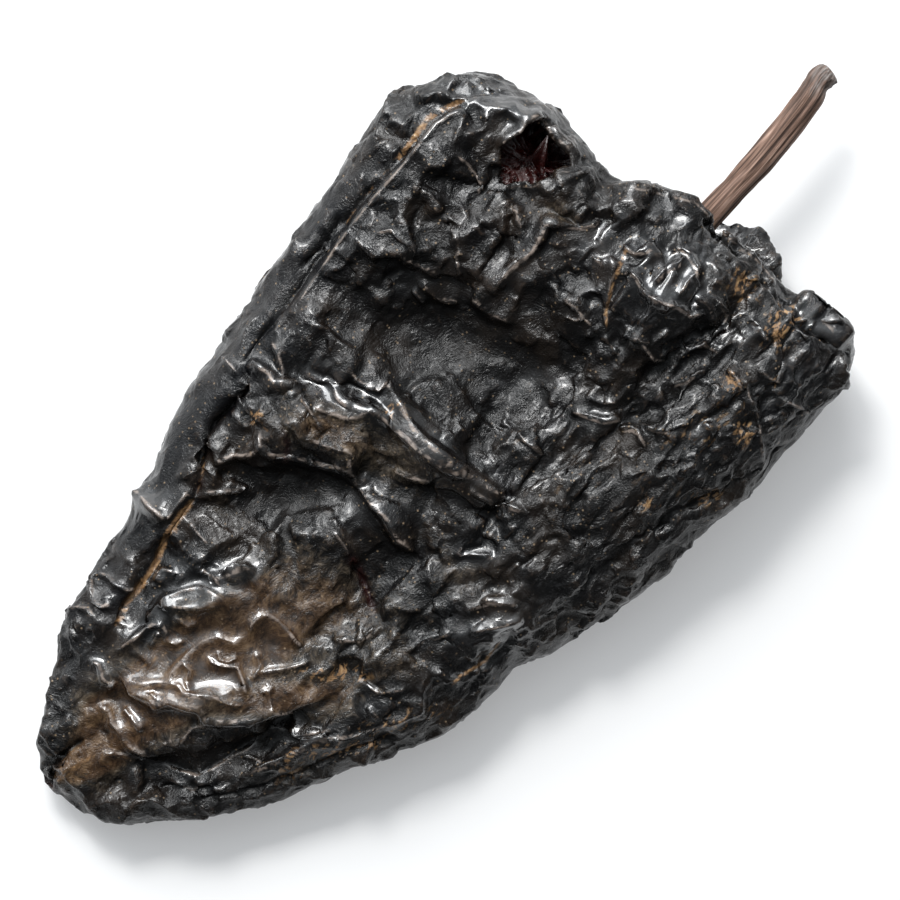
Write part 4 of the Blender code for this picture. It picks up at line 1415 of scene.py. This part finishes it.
def skin_material():
    g = Graph("chili_skin")
    ridge, swell, brown, blue_sheen = (g.value(k) for k in ("ridge", "swell", "brown", "blue_sheen"))
    shine, dull_and_shaded, gold, vein = (g.value(k) for k in ("shine", "dull_and_shaded", "gold", "vein"))
    red, inner, right = (g.value(k) for k in ("red", "inner", "right"))
    patchy, wave, soil = (g.value(k) for k in ("patchy", "wave", "soil"))
    crest, crease = g.value("crest"), g.value("crease")
    bent = g.vector("bent")
    lengthwise = scaled(g, bent, (0.42, 1.0, 1.0))
    fine = g.noise(bent, 1100.0, 4.0, 0.70)
    black = g.ramp(patchy, [(0.30, (0.0009, 0.0008, 0.0010)), (0.52, (0.0036, 0.0027, 0.0024)),
                            (0.74, (0.0130, 0.0086, 0.0058))])
    # painted reflection: a bluish tint in the black where the skin mirrors the pale sky; the same patches get less
    # wrinkle bump
    black = g.mix(g.math('MULTIPLY', blue_sheen, 0.75), black, (0.0034, 0.0040, 0.0056))
    tone = g.math('MULTIPLY_ADD', fine, 1.0, g.math('MULTIPLY_ADD', soil, 0.5, -0.25))
    olive = g.ramp(tone, [(0.28, (0.0090, 0.0072, 0.0054)), (0.50, (0.0380, 0.0290, 0.0200)), (0.74, (0.1150, 0.0900, 0.0640))])
    rust = g.ramp(tone, [(0.28, (0.0120, 0.0060, 0.0030)), (0.50, (0.0600, 0.0320, 0.0150)), (0.74, (0.1500, 0.0920, 0.0480))])
    earth = g.mix(g.span(brown, 0.55, 0.95), olive, rust)
    take = g.math('MULTIPLY_ADD', patchy, 0.9, g.math('MULTIPLY_ADD', fine, 1.2, -1.34))
    take = g.math('ADD', take, g.math('MULTIPLY', brown, 1.25))
    take = g.span(take, 0.12, 0.85)
    take = g.math('MULTIPLY', take, g.span(brown, 0.01, 0.22))
    colour = g.mix(take, black, earth)
    # crests are painted lighter and warmer, partly wear and partly a painted highlight; broad hollows get painted
    # shade near black
    crest_wear_and_highlight = g.math('MULTIPLY', g.span(ridge, 0.25, 1.0), g.span(fine, 0.44, 0.66))
    colour = g.mix(g.math('MULTIPLY', crest_wear_and_highlight, 0.50), colour, (0.060, 0.041, 0.029))
    # pale crest lines along the folds: partly their own tan colour, partly a painted highlight where light catches the
    # crest
    pale_crest_and_glint = g.math('MULTIPLY', g.span(crest, 0.30, 0.80), g.span(wave, 0.34, 0.56))
    pale_crest_and_glint = g.math('MULTIPLY', pale_crest_and_glint, g.span(fine, 0.34, 0.52))
    colour = g.mix(g.math('MULTIPLY', pale_crest_and_glint, 0.85), colour, (0.290, 0.235, 0.200))
    # painted shade: the creases darkened to near black
    colour = g.mix(g.math('MULTIPLY', g.span(crease, 0.2, 0.8), 0.8), colour, (0.0010, 0.0008, 0.0008))
    # painted shade: broad hollows darkened towards near black
    colour = g.mix(g.span(swell, -0.1, -0.9, 0.0, 0.6), colour, g.mix(0.75, colour, (0.0012, 0.0010, 0.0010)))
    # corky veins, golden streaks and tufts
    fibre = g.noise(lengthwise, 1500.0, 3.0, 0.6)
    cork = g.ramp(fibre, [(0.30, (0.060, 0.030, 0.012)), (0.55, (0.210, 0.115, 0.050)), (0.75, (0.42, 0.27, 0.13))])
    colour = g.mix(g.span(g.math('MULTIPLY', vein, g.span(fibre, 0.22, 0.60, 0.45, 1.15)), 0.18, 0.75), colour, cork)
    flake = g.math('MULTIPLY', gold, g.span(fibre, 0.40, 0.60))
    colour = g.mix(g.span(flake, 0.12, 0.55), colour, cork)
    # red flesh in the creases and inside the hole
    flesh = g.ramp(g.math('MULTIPLY_ADD', fine, 0.5, g.math('MULTIPLY', soil, 0.5)), [(0.32, (0.0045, 0.0008, 0.0007)), (0.62, (0.040, 0.0040, 0.0028)),
                                              (0.80, (0.110, 0.014, 0.008))])
    colour = g.mix(g.math('MULTIPLY', red, 0.8, clamp=True), colour, flesh)
    colour = g.mix(inner, colour, flesh)
    # pale dust specks, few and tiny
    dots = g.math('MULTIPLY', g.span(g.cells(g.coord, 950.0, 'F1'), 0.20, 0.09), g.span(wave, 0.46, 0.60))
    colour = g.mix(g.math('MULTIPLY', dots, g.math('SUBTRACT', 0.8, inner, clamp=True)), colour, (0.23, 0.165, 0.105))
    # painted shade: the dull patches, in the depressions and under the flaps, darkened towards black; they are also
    # rougher below
    colour = g.mix(g.math('MULTIPLY', dull_and_shaded, 0.55), colour, (0.0022, 0.0019, 0.0018))
    g.put(g.bsdf.inputs["Base Color"], colour)

    # gloss: waxy crests, dull hollows, corky parts matte
    rough = g.span(wave, 0.30, 0.70, 0.21, 0.40)
    rough = g.math('ADD', rough, g.math('MULTIPLY', dull_and_shaded, 0.10))
    rough = g.math('SUBTRACT', rough, g.math('MULTIPLY', shine, 0.10))
    rough = g.math('SUBTRACT', rough, g.math('MULTIPLY', g.span(ridge, 0.0, 0.9), 0.10))
    rough = g.math('ADD', rough, g.math('MULTIPLY', g.math('MAXIMUM', vein, flake), 0.25))
    rough = g.math('MULTIPLY_ADD', fine, 0.24, g.math('SUBTRACT', rough, 0.12))
    g.put(g.bsdf.inputs["Roughness"], g.math('MINIMUM', g.math('MAXIMUM', rough, 0.13), 0.85))
    g.bsdf.inputs["Specular IOR Level"].default_value = 0.42
    coat = g.math('MULTIPLY_ADD', shine, 1.1, g.span(ridge, 0.0, 0.8, 0.02, 0.28))
    coat = g.math('MULTIPLY_ADD', crest, 0.6, coat)
    coat = g.math('MULTIPLY', coat, g.span(wave, 0.74, 0.44))
    coat = g.math('MULTIPLY', coat, g.math('SUBTRACT', 1.0, g.math('MULTIPLY', dull_and_shaded, 0.8), clamp=True))
    g.put(g.bsdf.inputs["Coat Weight"], g.math('MINIMUM', coat, 1.0))
    g.bsdf.inputs["Coat Roughness"].default_value = 0.10
    g.bsdf.inputs["Coat IOR"].default_value = 1.70

    # wrinkles: thin crests, lengthwise on the right half, then pores and grain, all as one height in metres
    folds = g.noise(lengthwise, 520.0, 2.0, 0.5, 0.0, 'RIDGED_MULTIFRACTAL')
    pores = g.noise(bent, 2500.0, 2.0, 0.70)
    h = g.math('MULTIPLY', folds, g.math('MULTIPLY_ADD', right, 0.00010, 0.00008))
    h = g.math('MULTIPLY', h, g.math('SUBTRACT', 1.0, g.math('MULTIPLY', blue_sheen, 0.6), clamp=True))
    grain = g.math('MULTIPLY', pores, g.math('MULTIPLY_ADD', blue_sheen, -0.00004, 0.00018))
    h = g.math('ADD', h, g.math('MULTIPLY', grain, g.math('MULTIPLY_ADD', shine, -0.50, 1.0, clamp=True)))
    g.put(g.bsdf.inputs["Normal"], g.bump(h, 1.0, 1.0))
    return g.m


def plain_material(name, col, rough):
    m, nt, b = new_material(name)
    b.inputs["Base Color"].default_value = (*col, 1)
    b.inputs["Roughness"].default_value = rough
    return m


# ================================================================ pieces
v, quads, nb, mask = build_pod()
v, quads, tris, ring_no = open_hole(v, quads)
clock("hole")
v2, tris = thinned(v, quads, tris, 196000)
inner_pts = np.where(ring_no > 0)[0]
tree = KDTree(len(v))
reach = np.where(np.linalg.norm(v - v[inner_pts].mean(0), axis=1) < 0.016)[0]
for k in reach:
    tree.insert(v[k], int(k))
tree.balance()
ring2 = np.zeros(len(v2))
for k in np.where(np.linalg.norm(v2 - v[inner_pts].mean(0), axis=1) < 0.015)[0]:
    ring2[k] = ring_no[tree.find(v2[k])[1]]
clock("thinned")
me = final_mesh("pod_skin", v2, np.zeros((0, 4), int), tris, paint(v2, tris, ring2))
clock(f"painted; {len(tris)} triangles")
pod = bpy.data.objects.new("pod_skin", me)
bpy.context.scene.collection.objects.link(pod)
me.materials.append(skin_material())
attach(pod, "root")
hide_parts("pod")

# ---------------------------------------------------------------- stem: fibrous rod with a knobbed end
LINE = np.array([(921.0, -85.3, 0.01180, 0.00212), (932, -85.6, 0.01185, 0.00203), (945, -86.0, 0.01190, 0.00198),
                 (986, -86.8, 0.01215, 0.00198), (1020, -87.6, 0.01240, 0.00194), (1056, -88.6, 0.01275, 0.00205),
                 (1090, -87.8, 0.01300, 0.00206), (1118, -86.2, 0.01315, 0.00203), (1134, -84.6, 0.01320, 0.00197),
                 (1147, -82.4, 0.01320, 0.00186), (1157, -81.2, 0.01318, 0.00188), (1164, -81.6, 0.01316, 0.00160),
                 (1167.3, -81.9, 0.01314, 0.00110), (1168.4, -82.0, 0.01313, 0.00045)])
SIDES = 96


def smooth_curve(points, n):
    """Points along a Catmull-Rom curve, evenly spaced in the first column's span."""
    t = np.concatenate([[0], np.cumsum(np.linalg.norm(np.diff(points[:, :2], axis=0), axis=1))])
    m = np.gradient(points, t, axis=0)
    f = np.linspace(0, 1, n)
    tt = t[-1] * (1 - (1 - f) ** 1.35)
    k = np.clip(np.searchsorted(t, tt, side="right") - 1, 0, len(t) - 2)
    h = t[k + 1] - t[k]
    x = ((tt - t[k]) / h)[:, None]
    h = h[:, None]
    return ((2 * x ** 3 - 3 * x ** 2 + 1) * points[k] + (x ** 3 - 2 * x ** 2 + x) * h * m[k]
            + (-2 * x ** 3 + 3 * x ** 2) * points[k + 1] + (x ** 3 - x ** 2) * h * m[k + 1])


def build_stem():
    c = smooth_curve(LINE, 300)
    n = len(c)
    ang = np.linspace(0, 2 * math.pi, SIDES, endpoint=False)
    S, A = np.meshgrid(np.arange(n), ang, indexing="ij")
    along = (c[:, 0] - c[0, 0]) * UNIT
    r0 = np.maximum(c[:, 3], 0.0003)[S]
    straight = np.stack([along[S], r0 * np.cos(A), r0 * np.sin(A)], -1).reshape(-1, 3)
    end = step(0.0300, 0.0345, straight[:, 0])
    r = r0.ravel() * (1 + 0.035 * np.cos(2 * A + 0.9).ravel() + 0.030 * np.cos(3 * A + 0.6).ravel())
    # long fibres, deeper grooves and a few knots
    fibres = ridged(straight, (0.0150, 0.00060, 0.00060), 201, 0.15)
    fine = ridged(straight, (0.0080, 0.00034, 0.00034), 202, 0.15)
    groove = ridged(straight, (0.0300, 0.0015, 0.0015), 203, 0.12)
    r += (fibres - 0.5) * 0.00013 + (fine - 0.5) * 0.00006 - step(0.70, 0.97, groove) * 0.00016
    r += perlin(straight, (0.0060, 0.0024, 0.0024), 204) * 0.00005
    knob = perlin(straight, 0.0011, 205) * 0.00013 * end
    r += knob
    ca = math.radians(180)
    bulge = np.exp(-((straight[:, 0] - 0.0357) / 0.0008) ** 2) * np.maximum(np.cos(A.ravel() - ca), 0) ** 3
    notch = np.exp(-((straight[:, 0] - 0.0331) / 0.0007) ** 2) * np.maximum(np.cos(A.ravel() - ca), 0) ** 2
    r += bulge * 0.00045 - notch * 0.00035
    t = np.gradient(np.stack([c[:, 0] * UNIT, c[:, 1] * UNIT, c[:, 2]], -1), axis=0)
    t[-6:] = t[-7]
    t /= np.linalg.norm(t, axis=1, keepdims=True)
    side = np.cross(np.array([0, 0, 1.0]), t)
    side /= np.linalg.norm(side, axis=1, keepdims=True)
    up = np.cross(t, side)
    mid = np.stack([(c[:, 0] - ORIGIN_X) * UNIT, (c[:, 1] - ORIGIN_Y) * UNIT, c[:, 2]], -1)
    r = r.reshape(n, SIDES)
    p = mid[:, None] + side[:, None] * (r * np.cos(A))[..., None] + up[:, None] * (r * np.sin(A))[..., None]
    # the broken end is a little slanted and hollow in the middle
    p[:, :, 0] += (0.10 * (p[:, :, 1] - mid[:, None, 1])) * end.reshape(n, SIDES)
    v = p.reshape(-1, 3)
    ids = np.arange(n * SIDES).reshape(n, SIDES)
    nx = np.roll(ids, -1, 1)
    quads = np.stack([ids[:-1], nx[:-1], nx[1:], ids[1:]], -1).reshape(-1, 4)
    first, last = len(v), len(v) + 1
    v = np.concatenate([v, [mid[0]], [p[-1].mean(0) - np.array([0.00022, 0, 0])]])
    tris = np.concatenate([np.stack([ids[0], np.full(SIDES, first), nx[0]], -1),
                           np.stack([ids[-1], nx[-1], np.full(SIDES, last)], -1)])
    straight = np.concatenate([straight, [[0, 0, 0]], [[along[-1], 0, 0]]])
    pad = lambda x, a, b: np.concatenate([x, [a, b]])
    return v, quads, tris, {"grain": straight, "end": pad(end, 0, 1), "groove": pad(step(0.62, 0.95, groove), 0, 0),
                            "fibre": pad(fibres, 0.5, 0.2),
                            "root": pad(step(0.0095, 0.0060, straight[:-2, 0]), 1, 0),
                            "patchy": layered(straight, (0.020, 0.003, 0.003), 211, 4)}


def stem_material():
    g = Graph("stem_wood")
    grain, end, groove = g.vector("grain"), g.value("end"), g.value("groove")
    fibre, root, patchy = g.value("fibre"), g.value("root"), g.value("patchy")
    strands = g.noise(scaled(g, grain, (0.025, 1.0, 1.0)), 3600.0, 4.0, 0.70)
    cross = g.noise(scaled(g, grain, (0.22, 1.0, 1.0)), 1700.0, 3.0, 0.6)
    tone = g.math('ADD', g.math('MULTIPLY_ADD', strands, 0.90, -0.16), g.math('MULTIPLY_ADD', fibre, 0.30, -0.06))
    tone = g.math('ADD', tone, g.math('MULTIPLY_ADD', patchy, 0.14, -0.04))
    bark = g.ramp(tone, [(0.24, (0.034, 0.018, 0.012)), (0.42, (0.130, 0.074, 0.051)), (0.56, (0.275, 0.172, 0.130)),
                         (0.76, (0.520, 0.370, 0.290))])
    gold = g.ramp(tone, [(0.25, (0.110, 0.055, 0.020)), (0.50, (0.330, 0.195, 0.080)), (0.75, (0.520, 0.360, 0.180))])
    grey = g.ramp(cross, [(0.30, (0.060, 0.050, 0.045)), (0.50, (0.170, 0.150, 0.140)), (0.72, (0.340, 0.310, 0.290))])
    colour = g.mix(g.math('MULTIPLY', root, 0.85), bark, gold)
    colour = g.mix(g.math('MULTIPLY', end, g.span(cross, 0.35, 0.60, 0.35, 0.95)), colour, grey)
    # painted shade: the grooves darkened
    colour = g.mix(g.math('MULTIPLY', groove, 0.70), colour, (0.040, 0.022, 0.015))
    colour = g.mix(g.span(cross, 0.64, 0.74, 0.0, 0.45), colour, (0.040, 0.022, 0.015))
    g.put(g.bsdf.inputs["Base Color"], colour)
    g.put(g.bsdf.inputs["Roughness"], g.span(strands, 0.3, 0.7, 0.80, 0.58))
    g.bsdf.inputs["Specular IOR Level"].default_value = 0.35
    h = g.math('ADD', g.math('MULTIPLY', strands, 0.00016), g.math('MULTIPLY', cross, 0.00007))
    g.put(g.bsdf.inputs["Normal"], g.bump(h, 1.0, 1.0))
    return g.m


sv, sq, st, svals = build_stem()
stem_me = final_mesh("stem_wood", sv, sq, st, svals)
stem_me.materials.append(stem_material())
stem_ob = bpy.data.objects.new("stem_wood", stem_me)
bpy.context.scene.collection.objects.link(stem_ob)
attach(stem_ob, "root")
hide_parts("stem")


# ---------------------------------------------------------------- calyx: thin lobed cap with a collar
def build_calyx():
    sides = 150
    cx, cy = (912.0 - ORIGIN_X) * UNIT, (STEM_Y - ORIGIN_Y) * UNIT
    # distance along +X and share of the full radius, from the back's middle over the rim to the collar
    rings = [(0.00035, 0.10), (0.00025, 0.22), (0.00018, 0.34), (0.00010, 0.46), (0.00006, 0.58), (0.00003, 0.70),
             (0.00002, 0.80), (0.00006, 0.88), (0.00016, 0.94), (0.00034, 0.985), (0.00052, 1.0), (0.00074, 0.995),
             (0.00092, 0.975), (0.00106, 0.94), (0.00118, 0.89), (0.00130, 0.82), (0.00141, 0.75), (0.00152, 0.68),
             (0.00163, 0.61), (0.00176, 0.54), (0.00192, 0.485), (0.00212, 0.445), (0.00234, 0.42), (0.00250, 0.40),
             (0.00256, 0.36), (0.00252, 0.30), (0.00250, 0.20), (0.00250, 0.10)]
    ang = np.linspace(0, 2 * math.pi, sides, endpoint=False)
    K, A = np.meshgrid(np.arange(len(rings)), ang, indexing="ij")
    x = np.array([r[0] for r in rings])[K]
    k = np.array([r[1] for r in rings])[K]
    outer = step(0.5, 0.95, k)
    lobe = 1 + 0.13 * np.maximum(0, np.cos(5 * A)) * (0.2 + 0.8 * outer) - 0.05 * np.maximum(0, -np.cos(5 * A)) * outer
    ribs = 0.5 + 0.5 * np.cos(15 * A + 0.7 * np.sin(4 * A))
    ry, rz = 0.0068 * k * lobe, 0.0040 * k * lobe
    p = np.stack([cx + x + 0.0006 * k ** 2, cy + ry * np.cos(A), STEM_Z + rz * np.sin(A)], -1).reshape(-1, 3)
    face = np.where(x.ravel() > 0.0007, 1.0, -0.4)
    soft = step(0.34, 0.5, k.ravel()) * face
    p[:, 0] += soft * (0.00016 * (ribs.ravel() - 0.6) * step(0.45, 0.9, k.ravel())
                       + 0.00012 * perlin(p, 0.0012, 221) + 0.00010 * (ridged(p, 0.0011, 222) - 0.5))
    ids = np.arange(len(p)).reshape(len(rings), sides)
    nx = np.roll(ids, -1, 1)
    quads = np.stack([ids[:-1], nx[:-1], nx[1:], ids[1:]], -1).reshape(-1, 4)
    a, b = len(p), len(p) + 1
    p = np.concatenate([p, [[cx + 0.00036, cy, STEM_Z]], [[cx + 0.00250, cy, STEM_Z]]])
    tris = np.concatenate([np.stack([ids[0], np.full(sides, a), nx[0]], -1),
                           np.stack([ids[-1], nx[-1], np.full(sides, b)], -1)])
    kk = np.concatenate([k.ravel(), [0, 0]])
    return p, quads, tris, {"rim": step(0.80, 1.0, kk), "ribs": np.concatenate([ribs.ravel(), [0.5, 0.5]])}


def calyx_material():
    g = Graph("calyx_wood")
    rim, ribs = g.value("rim"), g.value("ribs")
    a = g.noise(g.coord, 1300.0, 5.0, 0.65)
    b = g.noise(g.coord, 420.0, 3.0, 0.6)
    tone = g.math('ADD', g.math('MULTIPLY', a, 0.6), g.math('MULTIPLY_ADD', b, 0.35, g.math('MULTIPLY', ribs, 0.08)))
    colour = g.ramp(tone, [(0.30, (0.018, 0.009, 0.005)), (0.48, (0.085, 0.046, 0.022)), (0.62, (0.190, 0.115, 0.055)),
                           (0.80, (0.330, 0.225, 0.120))])
    colour = g.mix(g.math('MULTIPLY', rim, 0.6), colour, (0.022, 0.013, 0.009))
    g.put(g.bsdf.inputs["Base Color"], colour)
    g.put(g.bsdf.inputs["Roughness"], g.span(a, 0.3, 0.7, 0.86, 0.62))
    g.bsdf.inputs["Specular IOR Level"].default_value = 0.3
    g.put(g.bsdf.inputs["Normal"], g.bump(g.math('MULTIPLY', a, 0.00020), 1.0, 1.0))
    return g.m


kv, kq, kt, kvals = build_calyx()
calyx_me = final_mesh("calyx_cap", kv, kq, kt, kvals)
calyx_me.materials.append(calyx_material())
calyx_ob = bpy.data.objects.new("calyx_cap", calyx_me)
bpy.context.scene.collection.objects.link(calyx_ob)
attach(calyx_ob, "root")
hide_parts("calyx")
clock("stem and calyx")

# ================================================================ floor, light, camera
floor = to_object("floor", np.array([(-4, -4, 0), (4, -4, 0), (4, 4, 0), (-4, 4, 0)], float), [(0, 1, 2, 3)])
# a pale sheet that glows a little: painted light that keeps the shadows light
glowing_floor_mat = plain_material("floor_glow", (0.66, 0.66, 0.66), 0.9)
sheet = next(n for n in glowing_floor_mat.node_tree.nodes if n.type == 'BSDF_PRINCIPLED')
sheet.inputs["Emission Color"].default_value = (0.985, 0.99, 1.0, 1)
sheet.inputs["Emission Strength"].default_value = 0.30
floor.data.materials.append(glowing_floor_mat)

world = bpy.data.worlds.new("studio")
bpy.context.scene.world = world
world.use_nodes = True
wn = world.node_tree
back = wn.nodes["Background"]
wtc = wn.nodes.new("ShaderNodeTexCoord")
wdot = wn.nodes.new("ShaderNodeVectorMath")
wdot.operation = 'DOT_PRODUCT'
wdot.inputs[1].default_value = (0.44, 0.70, 0.563)
wramp = wn.nodes.new("ShaderNodeValToRGB")
wn.links.new(wtc.outputs["Generated"], wdot.inputs[0])
wn.links.new(wdot.outputs["Value"], wramp.inputs["Fac"])
wn.links.new(wramp.outputs["Color"], back.inputs[0])
for k, (at, grey) in enumerate([(0.0, 0.060), (0.30, 0.14), (0.60, 0.37), (0.85, 0.85), (1.0, 1.5)]):
    el = wramp.color_ramp.elements[k] if k < 2 else wramp.color_ramp.elements.new(at)
    el.position, el.color = at, (grey * 0.90, grey * 0.955, grey, 1)
back.inputs[1].default_value = 1.40


def area(name, loc, size, power, colour, target=(0, 0, 0.01)):
    li = bpy.data.lights.new(name, 'AREA')
    li.shape, li.size, li.size_y = 'RECTANGLE', size[0], size[1]
    li.energy, li.color = power, colour
    ob = bpy.data.objects.new(name, li)
    ob.location = loc
    ob.rotation_euler = (Vector(target) - Vector(loc)).to_track_quat('-Z', 'Y').to_euler()
    bpy.context.scene.collection.objects.link(ob)
    return ob


area("key_softbox", (0.27, 0.45, 0.60), (0.17, 0.17), 3.2, (1.0, 0.985, 0.96))
area("wide_softbox", (0.36, 0.60, 0.56), (0.64, 0.50), 7.0, (0.98, 0.99, 1.0))

cam = bpy.data.cameras.new("camera")
cam_ob = bpy.data.objects.new("camera", cam)
bpy.context.scene.collection.objects.link(cam_ob)
DIST = 0.60
mid_xy = metres(turned((450, 450)))
cam_ob.location = (mid_xy[0], mid_xy[1], 0.010 + DIST)
cam_ob.rotation_euler = (0, 0, math.radians(-AXIS_DEG))
cam.sensor_width = 36.0
cam.lens = 36.0 * DIST / (900 * UNIT)
cam.clip_start, cam.clip_end = 0.01, 20
bpy.context.scene.camera = cam_ob
bpy.context.scene.view_settings.view_transform = 'Standard'
bpy.context.scene.view_settings.exposure = 0.0

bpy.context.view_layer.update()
clock("scene ready")
